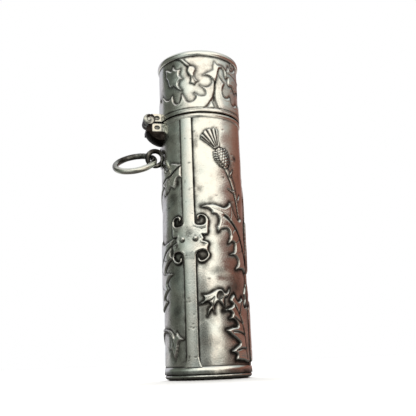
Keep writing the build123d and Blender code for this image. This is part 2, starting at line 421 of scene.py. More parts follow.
def raiseShape(field, points, lift, edge=0.42, puff=0.08, rim=0.04, shade=0.58, halo=0.38, keep=0.3):
    near, away, inside, _ = measure(field, smoothLine(points, True), chasing["reach"])
    depth = np.where(inside, away, 0)
    t = np.clip(depth / edge, 0, 1)
    rise = lift * rounded(t) + puff * (1 - np.exp(-depth / chasing["fullAt"]))
    rise += rim * bell(depth - chasing["burrIn"], chasing["burrWide"])
    height, tarnish = field["height"][near], field["tarnish"][near]
    moat = chasing["moat"] * bell(away, chasing["moatWide"])
    field["height"][near] = np.where(inside, keep * height + rise, height - moat)
    # painted shade with tarnish: a halo outside the outline and a thin dark line just inside it
    paintedShadeHalo = shade * (0.75 * bell(away, halo) + 0.25 * bell(away, halo * chasing["farHalo"]))
    line = 0.5 * shade * bell(away, chasing["lineWide"])
    field["tarnish"][near] = np.where(inside, line, np.maximum(tarnish, paintedShadeHalo))


def addSootAndShade(field, amount, near=slice(None)):
    field["tarnish"][near] = np.maximum(field["tarnish"][near], amount)


def cutGroove(field, points, width=0.22, depth=0.10, shade=0.9, taper=0.0):
    near, away, _, along = measure(field, smoothLine(points, False), 1.0, closed=False)
    wide = width * (1 - taper * along)
    line = bell(away, wide)
    field["height"][near] -= depth * line
    addSootAndShade(field, shade * line, near)


def layRidge(field, points, width=0.35, lift=0.25, shade=0.9, taper=0.0):
    near, away, _, along = measure(field, smoothLine(points, False), 1.2, closed=False)
    wide = width * (1 - taper * along)
    t = np.clip(away / wide, 0, 1)
    over = away < wide
    height, tarnish = field["height"][near], field["tarnish"][near]
    ridge = lift * np.sqrt(1 - t ** 2) * (wide / width) ** 0.5
    field["height"][near] = np.where(over, np.maximum(height, ridge), height)
    # painted shade with tarnish along both sides of the ridge
    stainAndShade = np.maximum(tarnish, shade * bell(away - wide, 0.28))
    field["tarnish"][near] = np.where(over, 0.25 * t ** 4, stainAndShade)


def sinkShape(field, points, depth, edge=0.3, shade=0.85):
    near, away, inside, _ = measure(field, smoothLine(points, True), 0.8)
    t = np.clip(away / edge, 0, 1)
    field["height"][near] -= np.where(inside, depth * rounded(t), 0)
    dark = np.where(inside, shade * (0.55 + 0.45 * t), shade * bell(away, 0.12))
    addSootAndShade(field, dark, near)


def softDents(field, amount, waves=16, shortest=2.5, longest=11.0):
    for _ in range(waves):
        length = seed.uniform(shortest, longest)
        heading = seed.uniform(0, 2 * pi)
        phase = seed.uniform(0, 2 * pi)
        swing = (field["x"] * cos(heading) + field["z"] * sin(heading)) * 2 * pi / length + phase
        field["height"] += amount * (length / longest) * np.sin(swing)


def dent(field, x, z, wide, tall, depth):
    out = ((field["x"] - x) / wide) ** 2 + ((field["z"] - z) / tall) ** 2
    field["height"] -= depth * np.exp(-out)


def grime(field, x, z, wide, tall, amount, lean=0.0):
    turn = radians(lean)
    dx, dz = field["x"] - x, field["z"] - z
    u, v = dx * cos(turn) + dz * sin(turn), dz * cos(turn) - dx * sin(turn)
    addSootAndShade(field, amount * np.exp(-(u / wide) ** 2 - (v / tall) ** 2))


def knocks(field, count, low, high, left, right):
    for _ in range(count):
        x, z = seed.uniform(left, right), seed.uniform(low, high)
        wide, tall = seed.uniform(0.12, 0.34), seed.uniform(0.10, 0.26)
        deep = seed.uniform(0.012, 0.035)
        out = np.hypot((field["x"] - x) / wide, (field["z"] - z) / tall)
        mark = np.exp(-out ** 2)
        field["height"] -= deep * mark
        addSootAndShade(field, deep * 14 * mark)


# Straps and cartouches

tip = "tip"

strap = {"half": 1.2, "foot": 1.8, "footRise": 2.2, "lift": 0.20, "crown": 0.05, "shoulder": 0.22,
         "pitch": 0.11}
cartouche = {"middle": 26.2, "lift": 0.34, "lip": 0.05, "edge": 0.26, "half": 4.3, "tall": 5.6,
             "pitch": 0.085}
belowSheet = -0.3       # where what surrounds a plate goes, to be cut away
studs = {"out": 1.27, "radius": 0.42, "flat": 0.75}
# right half, from the strap's edge down round both scrolls, in millimetres from the plate's middle
scrolls = [(1.2, 5.35, tip), (1.2, 3.6), (1.3, 3.0), (1.6, 2.68), (2.05, 2.58), (2.65, 2.58), (3.1, 2.83),
           (3.25, 3.38), (3.2, 3.88), (2.9, 4.23), (2.45, 4.38), (2.08, 4.15), (2.0, 3.68),
           (1.78, 3.58, tip), (1.6, 4.08), (1.75, 4.45), (2.25, 4.65), (2.85, 4.6), (3.45, 4.2),
           (3.8, 3.6), (3.87, 2.9), (3.75, 2.0), (3.7, 1.1), (3.55, 0.68, tip), (3.05, 0.58),
           (2.55, 0.62, tip), (2.72, 0.25), (2.85, -0.1), (2.65, -0.5, tip), (3.15, -0.65), (3.6, -0.9),
           (3.75, -1.35), (3.55, -1.9), (3.6, -2.6), (3.87, -3.2), (3.82, -3.7), (3.35, -4.3),
           (2.75, -4.68), (2.15, -4.72), (1.7, -4.42), (1.6, -3.85), (1.75, -3.42, tip), (1.9, -3.9),
           (2.15, -4.25), (2.65, -4.22), (3.15, -3.9), (3.45, -3.4), (3.35, -2.8), (2.95, -2.45),
           (2.35, -2.38), (1.75, -2.58), (1.35, -3.0), (1.2, -3.6), (1.2, -5.35, tip)]
scrollPlate = scrolls + [(-x, z, *rest) for x, z, *rest in reversed(scrolls)]


def ribbonRise(x, half):
    # rounded shoulders and a slight crown across the strap
    t = np.clip((half - np.abs(x)) / strap["shoulder"], 0, 1)
    crown = strap["crown"] * np.clip(1 - (x / half) ** 2, 0, 1)
    return strap["lift"] * rounded(t) + crown


def layStrap(field):
    low, high = field["z"].min(), field["z"].max()
    x = field["x"]
    foot = np.clip(1 - (field["z"] - low) / strap["footRise"], 0, 1) ** 2
    half = strap["half"] + (strap["foot"] - strap["half"]) * foot
    field["height"] = np.where(np.abs(x) > half, -0.2, ribbonRise(x, half))
    addSootAndShade(field, 0.4 * bell(np.abs(x) - half, 0.10))
    softDents(field, 0.006, 8, 3.0, 9.0)
    knocks(field, 26, low, high, -strap["half"], strap["half"])


def layCartouche(field):
    field["z"] -= cartouche["middle"]
    field["height"] += belowSheet
    near, away, inside, _ = measure(field, smoothLine(scrollPlate, True), 2.0)
    depth = np.where(inside, away, 0)
    t = np.clip(depth / cartouche["edge"], 0, 1)
    plate = cartouche["lift"] * rounded(t) + cartouche["lip"] * bell(depth - 0.3, 0.2)
    # the strap runs on through: towards both ends the plate takes its shape and dips just under it
    x, z = field["x"][near], np.abs(field["z"][near])
    neck = np.clip((z - 2.4) / 1.6, 0, 1) * (np.abs(x) < strap["half"] + 0.15)
    neck = neck * neck * (3 - 2 * neck)
    under = 0.03 * np.clip((z - 3.9) / 1.2, 0, 1)
    plate = plate * (1 - neck) + (ribbonRise(x, strap["half"]) + 0.012 - under) * neck
    field["height"][near] = np.where(inside, plate, belowSheet)
    field["tarnish"][near] = np.where(inside, 0.35 * bell(away, 0.10) * (1 - neck), 0.0)
    for side in (-1, 1):
        cutGroove(field, [(side * 2.4, 1.65), (side * 3.1, 1.85)], 0.12, 0.05, 0.35)
        sinkShape(field, [(side * 2.45, -0.95), (side * 3.0, -1.05), (side * 2.95, -1.5),
                          (side * 2.45, -1.5)], 0.06,
                  0.15, 0.4)
        # painted shadow under the studs, darker below them
        out = np.hypot(field["x"] - side * 1.3, field["z"] + 0.12)
        lower = np.clip(0.55 - field["z"] * 0.9, 0.15, 1)
        addSootAndShade(field, 0.85 * bell(out - 0.45, 0.17) * lower)
    rubbed = np.exp(-((field["x"] / 0.75) ** 2 + ((field["z"] - 0.9) / 1.2) ** 2))
    grain = seed.normal(0, 1, len(rubbed))
    field["height"] += 0.006 * rubbed * grain
    addSootAndShade(field, rubbed * np.clip(0.42 + 0.20 * grain, 0, 0.8))
    softDents(field, 0.006, 8, 2.0, 6.0)
    knocks(field, 10, -4.5, 4.5, -3.2, 3.2)
    field["height"] = np.where(np.abs(field["z"]) > 5.25, belowSheet, field["height"])
    field["z"] += cartouche["middle"]


def scrollShade(field, middle):
    # painted shade and soot in the scrolls' eyes and round the plate, laid on the sheet beneath
    line = smoothLine([(x + middle, z + cartouche["middle"], *rest) for x, z, *rest in scrollPlate], True)
    near, away, _, _ = measure(field, line, 1.6)
    eyes = np.zeros(len(near), bool)
    dx, dz = field["x"][near] - middle, field["z"][near] - cartouche["middle"]
    for side in (-1, 1):
        for x, z in ((2.45, 3.45), (2.5, -3.35)):
            eyes |= np.hypot(dx - side * x, dz - z) < 1.0
    shade = 0.75 * bell(away, 0.32) + 0.25 * bell(away, 0.9) + np.where(eyes, 0.30, 0)
    addSootAndShade(field, shade, near)


def strapStuds(name, middles):
    bm = bmesh.new()
    for middle in middles:
        for side in (-1, 1):
            dome = bmesh.ops.create_uvsphere(bm, u_segments=24, v_segments=14,
                                             radius=studs["radius"])["verts"]
            bmesh.ops.scale(bm, vec=(1, 1, studs["flat"]), verts=dome)
            angle = frontAngle + (middle + side * studs["out"]) / tubeRadius
            reach = tubeRadius + cartouche["lift"] + 0.02
            turn = Matrix.Rotation(angle, 3, "Z") @ Matrix.Rotation(radians(90), 3, "X")
            bmesh.ops.rotate(bm, cent=(0, 0, 0), matrix=turn, verts=dome)
            place = Vector((reach * sin(angle), -reach * cos(angle), cartouche["middle"]))
            bmesh.ops.translate(bm, vec=place, verts=dome)
    return finishPiece(name, bm, "case_body", bandSilver, "polished_band", "strap_studs")


def shifted(shape, middle):
    def onPlace(field):
        field["x"] = field["x"] - middle
        shape(field)
        field["x"] = field["x"] + middle
    return onPlace


for place, middle in (("front", 0.0), ("back", halfRound)):
    lower, upper = nodeBox(f"{place}_strap")
    ribbon = gridSheet(middle - 2.0, middle + 2.0, lower.z, upper.z, strap["pitch"], 0)
    rollOn(f"{place}Strap", ribbon, shifted(layStrap, middle), "case_body", strapSilver, "strap_silver",
           f"{place}_strap", under=-0.12)
    plate = gridSheet(middle - cartouche["half"], middle + cartouche["half"],
                      cartouche["middle"] - cartouche["tall"],
                      cartouche["middle"] + cartouche["tall"], cartouche["pitch"], 0)
    rollOn(f"{place}Cartouche", plate, shifted(layCartouche, middle), "case_body", strapSilver,
           "strap_silver", f"{place}_cartouche", under=-0.12)
strapStuds("strapStuds", (0.0, halfRound))
print("straps and cartouches laid")


# Thistle panel

panel = {
    "pitch": 0.125,
    "leafLift": 0.22,
    "stemLift": 0.20,
    "headLift": 0.34,
}
scales = {"round": 2.1, "rows": 1.75, "lift": 0.11, "sootAndShade": 0.75}
spines = {"count": 7, "lowest": -0.70, "apart": 0.22, "root": 0.12, "reach": 0.20, "width": 0.17,
          "lift": 0.24}

middleLeaf = [(-0.55, 31.65, tip), (0.8, 31.25), (1.45, 30.75), (1.65, 30.25), (2.45, 30.05), (3.0, 29.2),
              (2.85, 28.2), (2.5, 27.6), (2.7, 26.65, tip), (3.4, 27.25), (4.5, 27.45), (5.15, 26.9),
              (5.3, 25.8), (4.75, 24.45, tip), (5.7, 24.95), (6.4, 24.5), (6.35, 23.4), (6.0, 22.8),
              (5.05, 22.35, tip), (6.2, 22.25), (7.0, 21.6), (7.2, 20.8), (6.3, 19.55, tip), (7.4, 19.75),
              (8.6, 19.7), (9.6, 19.0), (9.9, 22.0), (9.3, 26.0), (8.7, 29.7), (7.9, 29.3), (7.1, 29.7),
              (6.4, 30.7), (5.95, 31.7), (5.6, 32.7, tip), (5.0, 32.0), (4.1, 31.5), (3.1, 31.75),
              (1.9, 32.1), (0.6, 32.0)]
curledLeaf = [(-0.75, 14.7, tip), (0.2, 14.75), (1.2, 15.25), (2.1, 15.7), (2.9, 15.6), (3.45, 15.0),
              (4.0, 15.05), (4.55, 15.9, tip), (4.35, 14.9), (3.9, 14.3), (3.4, 14.1), (3.2, 13.4),
              (3.25, 12.2, tip), (2.75, 12.9), (2.1, 13.4), (1.5, 12.9), (1.25, 12.3), (1.35, 11.25, tip),
              (0.75, 11.9), (-0.1, 10.6, tip), (0.15, 11.9), (0.75, 12.7), (0.2, 13.3), (-0.6, 13.1),
              (-1.6, 12.9, tip), (-0.5, 13.75)]
footLeaf = [(3.0, 11.65, tip), (4.2, 11.7), (4.85, 11.25), (4.85, 10.75), (4.25, 10.2, tip), (5.3, 10.1),
            (5.95, 9.4), (6.05, 8.7), (5.0, 8.55), (3.5, 8.1, tip), (4.6, 7.15), (5.6, 6.5), (6.5, 5.6),
            (5.5, 4.9), (4.5, 4.25, tip), (5.4, 3.85), (5.6, 3.4), (5.4, 2.7, tip), (7.0, 2.6), (9.8, 2.6),
            (10.0, 8.0), (9.9, 12.5), (8.4, 12.3), (7.9, 13.3), (7.65, 14.25, tip), (7.2, 13.6),
            (6.5, 13.4), (5.95, 13.8), (5.5, 14.8, tip), (4.9, 14.2), (4.6, 13.5), (5.2, 12.8),
            (4.6, 12.3)]
sideLeaf = [(10.0, 17.0), (9.2, 16.2), (8.6, 15.0, tip), (9.0, 14.0), (8.0, 12.4, tip), (9.3, 11.6),
            (10.0, 10.4)]
flowerStem = [(4.9, 39.9), (5.6, 38.6), (6.3, 37.2), (7.0, 35.6), (7.6, 33.8), (8.0, 32.0), (8.6, 29.0),
              (9.3, 25.5), (9.95, 21.0)]
mainStem = [(9.95, 23.0), (10.0, 16.0), (9.95, 9.0), (9.9, 2.0)]
tuft = [(2.75, 43.4), (1.4, 44.4), (-0.15, 45.6, tip), (-0.1, 46.25), (0.35, 46.75, tip), (0.7, 47.35),
        (1.15, 47.5, tip), (1.7, 47.75), (2.1, 47.6, tip), (2.6, 47.95), (2.95, 47.6, tip), (3.3, 47.75),
        (3.5, 47.0), (3.5, 45.6), (3.75, 44.0)]
petalGrooves = [[(0.25, 46.7), (2.55, 43.9)], [(1.05, 47.4), (2.85, 44.0)], [(2.05, 47.55), (3.05, 44.2)],
                [(2.9, 47.55), (3.3, 44.3)], [(0.1, 45.9), (2.4, 43.9)]]
head = {"x": 4.28, "z": 41.75, "wide": 1.42, "tall": 2.15, "lean": 22.0}


def thistleHead(field, flip, place):
    lean = radians(place["lean"]) * (-1 if flip else 1)
    x0, z0 = onSheet([(place["x"], place["z"])])[0]
    if flip:
        x0 = 2 * flip - x0
    dx, dz = field["x"] - x0, field["z"] - z0
    u = dx * cos(lean) + dz * sin(lean)
    v = -dx * sin(lean) + dz * cos(lean)
    out = np.hypot(u / place["wide"], v / place["tall"])
    inside = out < 1
    # rows of small scales, each a step that faces up, closer together at the sides
    around = np.arcsin(np.clip(u / place["wide"], -0.99, 0.99)) * scales["round"]
    row = v * scales["rows"]
    shift = np.floor(row) % 2 * 0.5
    across = (around + shift) % 1.0 - 0.5
    up = row % 1.0
    scale = np.clip(1 - np.hypot(across * 1.5, (up - 0.45) * 1.2) * 1.5, 0, 1) ** 0.6
    dome = panel["headLift"] * np.sqrt(np.clip(1 - out ** 2, 0, 1)) + scales["lift"] * scale
    height, tarnish = field["height"], field["tarnish"]
    field["height"] = np.where(inside, np.maximum(dome, height * 0.3), height)
    gaps = scales["sootAndShade"] * np.clip(1 - scale * 2.6, 0, 1) * np.clip(0.35 + out * 0.8, 0, 1)
    # painted shade with tarnish in a ring round the head's edge
    away = np.abs(out - 1) * place["wide"]
    ring = 0.95 * bell(away, 0.24)
    field["tarnish"] = np.where(inside, gaps, np.maximum(tarnish, ring * (out < 1.5)))
    # spines that stand out of the sides
    for side in (-1, 1):
        for step in range(spines["count"]):
            along = spines["lowest"] + step * spines["apart"]
            reach = sqrt(max(1 - along ** 2, 0.05))
            bx, bz = side * place["wide"] * (reach - spines["root"]), along * place["tall"]
            ex, ez = side * place["wide"] * (reach + spines["reach"]), along * place["tall"] + spines["apart"]
            start = (x0 + bx * cos(lean) - bz * sin(lean), z0 + bx * sin(lean) + bz * cos(lean))
            end = (x0 + ex * cos(lean) - ez * sin(lean), z0 + ex * sin(lean) + ez * cos(lean))
            layRidge(field, [start, end], spines["width"], spines["lift"], 0.8, 0.6)


def thistlePlant(field, flip=None):
    # flip mirrors the plant about that line of the sheet
    def put(points):
        points = onSheet(points)
        return mirrored(points, flip) if flip else points
    lift = panel["leafLift"]
    layRidge(field, put(mainStem), 0.50, panel["stemLift"])
    layRidge(field, put(flowerStem), 0.36, panel["stemLift"], 1.0)
    layRidge(field, put([(5.9, 38.3), (6.35, 38.9), (6.75, 39.6)]), 0.22, 0.18, 0.8, 0.8)
    layRidge(field, put([(7.1, 35.0), (6.2, 35.2), (5.4, 35.5)]), 0.22, 0.18, 0.8, 0.8)
    layRidge(field, put([(8.0, 33.4), (8.6, 34.0), (8.9, 34.8)]), 0.22, 0.18, 0.8, 0.8)
    raiseShape(field, put(sideLeaf), lift * 0.9)
    raiseShape(field, put(footLeaf), lift * 1.2, shade=0.95, halo=0.60)
    for vein in ([(5.6, 12.6), (6.4, 11.2), (7.3, 9.3), (8.0, 6.3), (8.3, 3.0)],
                 [(7.3, 9.3), (6.2, 9.9), (5.3, 10.6)],
                 [(7.8, 7.2), (6.3, 7.7), (4.9, 7.8)], [(8.2, 4.6), (7.0, 4.7), (5.6, 4.4)],
                 [(6.6, 11.0), (7.0, 12.3), (7.4, 13.4)]):
        cutGroove(field, put(vein), 0.22, 0.10, 0.75, 0.4)
    raiseShape(field, put(middleLeaf), lift * 1.15, shade=0.75, halo=0.48)
    cutGroove(field, put([(4.1, 29.9), (5.0, 29.3), (6.0, 28.3), (7.3, 26.7), (8.1, 25.0), (9.0, 22.6),
                          (9.5, 20.0)]),
              0.30, 0.16, 1.0, 0.2)
    for vein in ([(6.6, 27.6), (5.9, 26.9), (5.6, 25.9)], [(7.8, 25.7), (6.9, 24.9), (6.2, 24.6)],
                 [(8.6, 23.6), (7.5, 22.9), (6.6, 22.7)], [(5.0, 29.3), (3.8, 30.4), (1.6, 31.4)],
                 [(5.3, 29.1), (5.6, 30.6), (5.5, 31.8)]):
        cutGroove(field, put(vein), 0.15, 0.06, 0.45, 0.7)
    raiseShape(field, put(curledLeaf), lift * 1.2, shade=0.85, halo=0.50)
    sinkShape(field, put([(1.8, 14.4), (2.2, 15.2), (2.8, 15.2), (3.05, 14.5), (2.7, 13.9), (2.1, 13.8)]),
              0.26)
    cutGroove(field, put([(-0.6, 13.3), (0.6, 13.6), (1.3, 14.2)]), 0.18, 0.08, 0.7, 0.4)
    cutGroove(field, put([(0.9, 12.1), (1.1, 13.1), (1.3, 14.0)]), 0.14, 0.06, 0.6, 0.4)
    raiseShape(field, put(tuft), 0.16, 0.25, 0.05, halo=0.24)
    for groove in petalGrooves:
        cutGroove(field, put(groove), 0.17, 0.14, 1.0, 0.45)
    thistleHead(field, flip, head)


# Leaves on the hinge side, which turn towards the front strap
upperLeaf = [(-4.2, 40.65, tip), (-5.0, 40.8), (-5.9, 41.1), (-7.05, 41.5, tip), (-6.9, 40.9),
             (-7.2, 40.35), (-7.9, 40.0), (-8.6, 40.1), (-9.3, 40.9, tip), (-9.5, 39.8), (-10.0, 38.8),
             (-11.2, 38.4, tip), (-10.2, 37.6), (-9.3, 37.0), (-8.8, 36.4), (-9.5, 35.2, tip),
             (-8.6, 35.4), (-8.0, 35.75), (-7.6, 36.2), (-7.05, 36.55), (-6.6, 36.5), (-6.15, 36.0, tip),
             (-5.85, 36.6), (-5.7, 37.4), (-5.3, 38.0), (-4.8, 38.15), (-4.2, 37.85, tip), (-4.4, 38.8)]
spikyLeaf = [(-6.5, 26.0, tip), (-7.2, 25.2), (-7.75, 23.4), (-7.6, 22.6), (-6.9, 22.2, tip), (-8.3, 21.6),
             (-9.6, 20.4), (-9.7, 19.7), (-8.4, 19.4), (-7.0, 19.15, tip), (-8.3, 18.5), (-9.2, 17.4),
             (-8.4, 16.4, tip), (-9.7, 15.7), (-10.6, 14.7), (-9.0, 13.9, tip), (-10.8, 13.0),
             (-12.6, 12.5), (-15.6, 13.0), (-15.8, 20.0), (-13.5, 23.5), (-11.5, 26.4, tip), (-10.4, 25.3),
             (-8.6, 25.4)]
lowLeaf = [(-10.9, 8.95), (-9.1, 8.75), (-8.0, 8.35), (-7.35, 7.6), (-7.1, 7.0), (-6.75, 7.5),
           (-6.4, 8.15, tip), (-5.9, 7.4), (-4.85, 6.7, tip), (-5.7, 6.55), (-6.15, 6.0), (-6.35, 5.0),
           (-6.6, 3.9), (-6.95, 2.9, tip), (-7.35, 4.1), (-7.75, 4.9), (-8.6, 5.0, tip), (-8.15, 5.8),
           (-8.1, 6.7), (-8.5, 7.6), (-9.4, 8.1), (-11.0, 8.2), (-13.0, 7.4), (-15.6, 5.0), (-15.8, 7.0),
           (-13.5, 9.0)]


def hingePlant(field, flip=None):
    def put(points):
        points = onSheet(points)
        return mirrored(points, flip) if flip else points
    lift = panel["leafLift"]
    layRidge(field, put([(-16.1, 34.5), (-16.0, 25.0), (-16.1, 14.0), (-16.0, 2.0)]), 0.50, panel["stemLift"])
    layRidge(field, put([(-9.4, 37.6), (-11.4, 36.6), (-13.6, 34.6), (-15.8, 31.0)]), 0.32, 0.20)
    raiseShape(field, put(upperLeaf), lift)
    cutGroove(field, put([(-4.35, 40.4), (-5.3, 39.95), (-6.2, 39.3), (-7.0, 38.75), (-8.2, 38.6),
                          (-9.6, 37.9)]),
              0.20, 0.11, 0.85, -0.1)
    for vein in ([(-7.6, 38.5), (-7.0, 37.7), (-6.6, 36.9)], [(-8.7, 38.2), (-8.5, 37.2), (-8.2, 36.2)],
                 [(-7.3, 38.9), (-7.6, 39.4), (-8.2, 39.8)]):
        cutGroove(field, put(vein), 0.14, 0.05, 0.4, 0.6)
    raiseShape(field, put(spikyLeaf), lift)
    cutGroove(field, put([(-7.4, 24.6), (-9.5, 23.2), (-12.5, 20.2), (-15.6, 16.0)]), 0.24, 0.12, 0.9, 0.2)
    for vein in ([(-10.4, 22.3), (-9.0, 21.9), (-7.6, 22.2)], [(-12.2, 20.5), (-10.2, 19.4), (-8.2, 19.2)],
                 [(-13.6, 18.8), (-11.4, 17.0), (-9.4, 16.2)]):
        cutGroove(field, put(vein), 0.16, 0.06, 0.5, 0.6)
    raiseShape(field, put(lowLeaf), lift)
    cutGroove(field, put([(-13.6, 8.3), (-10.9, 8.6), (-8.7, 8.1), (-7.6, 6.8), (-7.0, 5.2)]), 0.20, 0.09,
              0.7, 0.4)


def edgeShade(field, left, right):
    # painted shade, with tarnish that no polishing reaches, beside the straps and along the bands
    scrollShade(field, left)
    scrollShade(field, right)
    for side in (left, right):
        beside = np.abs(np.abs(field["x"] - side) - strap["half"] - 0.05)
        line = bell(beside, 0.20)
        field["height"] -= 0.04 * line
        spread = 0.62 * line + 0.30 * bell(beside, 0.75)
        addSootAndShade(field, spread)
    for level, shade in ((bandHigh.z, 0.7), (nodeBox("body_mouth_band")[0].z, 0.30)):
        addSootAndShade(field, shade * bell(field["z"] - level, 0.22))


sides = {"wall": 0.25, "waves": 0.014, "rightKnocks": 70, "leftKnocks": 90, "leftDirt": 0.10}


def rightSide(field):
    softDents(field, sides["waves"])
    knocks(field, sides["rightKnocks"], sheetLow.z, sheetHigh.z, 0, halfRound)
    dent(field, 7.0, 18.4, 2.2, 1.3, 0.16)
    dent(field, 3.0, 45.5, 1.6, 2.4, 0.05)
    dent(field, 19.5, 24.0, 2.4, 2.0, 0.10)
    edgeShade(field, 0, halfRound)
    for x, z, wide, tall, amount, lean in ((8.8, 42.4, 0.5, 1.9, 0.55, 18), (10.7, 43.0, 0.55, 0.6, 0.7, 0),
                                           (9.6, 37.6, 0.7, 2.6, 0.5, 18), (1.9, 46.0, 0.5, 2.0, 0.35, 0),
                                           (2.2, 36.0, 0.8, 1.1, 0.32, 30), (4.2, 33.8, 0.9, 0.8, 0.25, 0),
                                           (3.0, 22.5, 0.9, 2.4, 0.42, 0), (2.2, 10.0, 0.8, 7.0, 0.45, 0),
                                           (5.2, 20.0, 1.6, 0.8, 0.35, 0), (9.0, 17.0, 2.4, 2.0, 0.45, 0)):
        grime(field, x, z, wide, tall, amount, lean)
    thistlePlant(field)
    thistlePlant(field, halfRound / 2)


def leftSide(field):
    softDents(field, sides["waves"])
    knocks(field, sides["leftKnocks"], sheetLow.z, sheetHigh.z, -halfRound, 0)
    field["tarnish"] += sides["leftDirt"]
    edgeShade(field, -halfRound, 0)
    for x, z, wide, tall, amount, lean in ((-3.4, 34.6, 1.2, 1.6, 0.45, 0), (-2.2, 37.6, 0.7, 1.0, 0.6, 0),
                                           (-3.8, 20.0, 1.8, 2.6, 0.35, 0), (-3.2, 12.6, 1.6, 2.2, 0.40, 0),
                                           (-4.0, 5.0, 1.5, 1.4, 0.55, 0), (-3.9, 24.2, 0.7, 1.2, 0.7, 0),
                                           (-4.8, 47.5, 2.2, 1.5, 0.30, 0)):
        grime(field, x, z, wide, tall, amount, lean)
    hingePlant(field)
    hingePlant(field, -halfRound / 2)


for name, left, right, shape in (("thistleSheet", 0, halfRound, rightSide),
                                 ("leafSheet", -halfRound, 0, leftSide)):
    side = gridSheet(left, right, sheetLow.z, sheetHigh.z, panel["pitch"], sides["wall"])
    rollOn(name, side, shape, "case_body", stampedSilver, "body_sheet", "body_shell")
print("body sheets stamped")


# Lid sheet

lidStamp = {"pitch": 0.13, "waves": 0.010, "fuller": 0.05, "knocks": 50}
wingLeaf = [(-8.0, 62.2, tip), (-7.0, 61.75), (-6.2, 61.2), (-5.85, 61.3), (-5.65, 62.3, tip),
            (-5.35, 61.6), (-4.8, 61.15), (-3.95, 61.1, tip), (-4.15, 60.4), (-4.15, 59.8),
            (-3.5, 58.9, tip), (-4.15, 58.6), (-4.45, 57.9), (-4.3, 57.2), (-3.7, 56.35, tip),
            (-4.5, 56.8), (-5.1, 57.4), (-5.6, 57.9), (-6.2, 57.75), (-6.8, 58.2), (-6.95, 58.9),
            (-7.2, 59.6), (-7.65, 60.2), (-7.6, 61.0)]
scallopField = [(-12.6, 51.6, tip), (-12.4, 55.0), (-10.9, 56.8, tip), (-10.4, 56.0), (-9.8, 55.6),
                (-9.2, 56.6, tip), (-8.7, 56.1), (-8.0, 55.4), (-7.2, 55.05), (-6.5, 55.2),
                (-6.0, 55.9, tip), (-5.9, 55.2), (-5.7, 54.3), (-5.3, 53.75), (-4.85, 53.55), (-4.3, 53.8),
                (-3.95, 54.5), (-3.7, 55.7, tip), (-3.25, 54.85), (-2.9, 54.1), (-2.45, 53.65),
                (-1.9, 53.5), (-1.25, 53.7), (-0.85, 54.2), (-0.75, 54.8), (-1.1, 55.35, tip),
                (-0.6, 55.05), (0.0, 54.75), (0.55, 54.7), (1.1, 54.85), (1.3, 55.2), (1.2, 55.7),
                (0.65, 56.6), (0.1, 57.1, tip), (0.7, 56.8), (1.2, 56.7), (1.8, 56.8), (2.4, 57.3),
                (2.7, 58.0), (2.5, 58.7), (2.9, 59.0), (3.25, 58.7), (3.2, 57.3), (3.05, 56.0),
                (2.8, 55.0), (2.4, 53.9), (1.8, 53.0), (1.2, 52.4), (0.5, 51.6, tip)]
sheathField = [(3.5, 58.2, tip), (3.45, 57.0), (3.3, 55.5), (3.3, 54.2), (3.5, 53.2), (4.2, 51.6, tip),
               (13.4, 51.6, tip), (12.6, 54.0), (11.2, 55.2, tip), (10.4, 54.2), (9.4, 54.5, tip),
               (8.8, 53.95), (8.1, 53.75), (7.5, 54.0), (7.2, 54.6), (7.0, 55.4, tip), (6.5, 55.0),
               (5.9, 54.75), (5.4, 54.9), (5.1, 55.3), (4.95, 56.0), (5.05, 57.0), (5.6, 58.0, tip),
               (4.9, 58.6), (4.4, 59.3), (4.1, 60.2, tip), (3.8, 59.3)]
hornLeaf = [(3.35, 62.5, tip), (3.1, 61.6), (3.0, 60.8), (2.6, 60.4), (1.8, 59.95), (0.8, 59.3, tip),
            (1.7, 59.2), (2.4, 58.9), (3.0, 58.4), (3.4, 58.1), (3.75, 59.0), (4.0, 59.9), (4.2, 60.8),
            (4.5, 61.25), (5.0, 61.45), (5.5, 61.2), (5.8, 60.6), (5.85, 59.9), (6.1, 59.3, tip),
            (6.25, 60.0), (6.2, 60.8), (5.8, 61.45), (5.2, 61.8), (4.6, 61.85), (4.0, 61.9)]
farLeaf = [(6.0, 61.2), (6.6, 61.3), (7.0, 62.3, tip), (7.4, 61.6), (8.1, 61.5), (8.9, 61.9),
           (9.6, 62.7, tip), (10.0, 61.4), (10.9, 60.4), (12.2, 60.2, tip), (11.0, 59.3), (10.8, 58.3),
           (11.6, 57.2, tip), (10.2, 57.8), (9.0, 56.9, tip), (8.4, 57.6), (7.8, 58.1), (7.0, 57.95),
           (6.6, 58.4), (6.7, 59.6, tip), (6.2, 59.4), (6.25, 60.3)]
budTuft = [(-1.7, 59.3), (-1.0, 59.3), (-0.7, 58.6), (-0.2, 57.95, tip), (-0.7, 57.7), (-0.95, 57.25),
           (-1.4, 57.5), (-1.85, 57.65), (-1.75, 58.4)]
bud = [(-1.55, 61.45), (-0.95, 61.2), (-0.7, 60.5), (-0.95, 59.8), (-1.2, 59.1), (-1.7, 59.1),
       (-2.2, 59.8), (-2.45, 60.5), (-2.15, 61.2)]


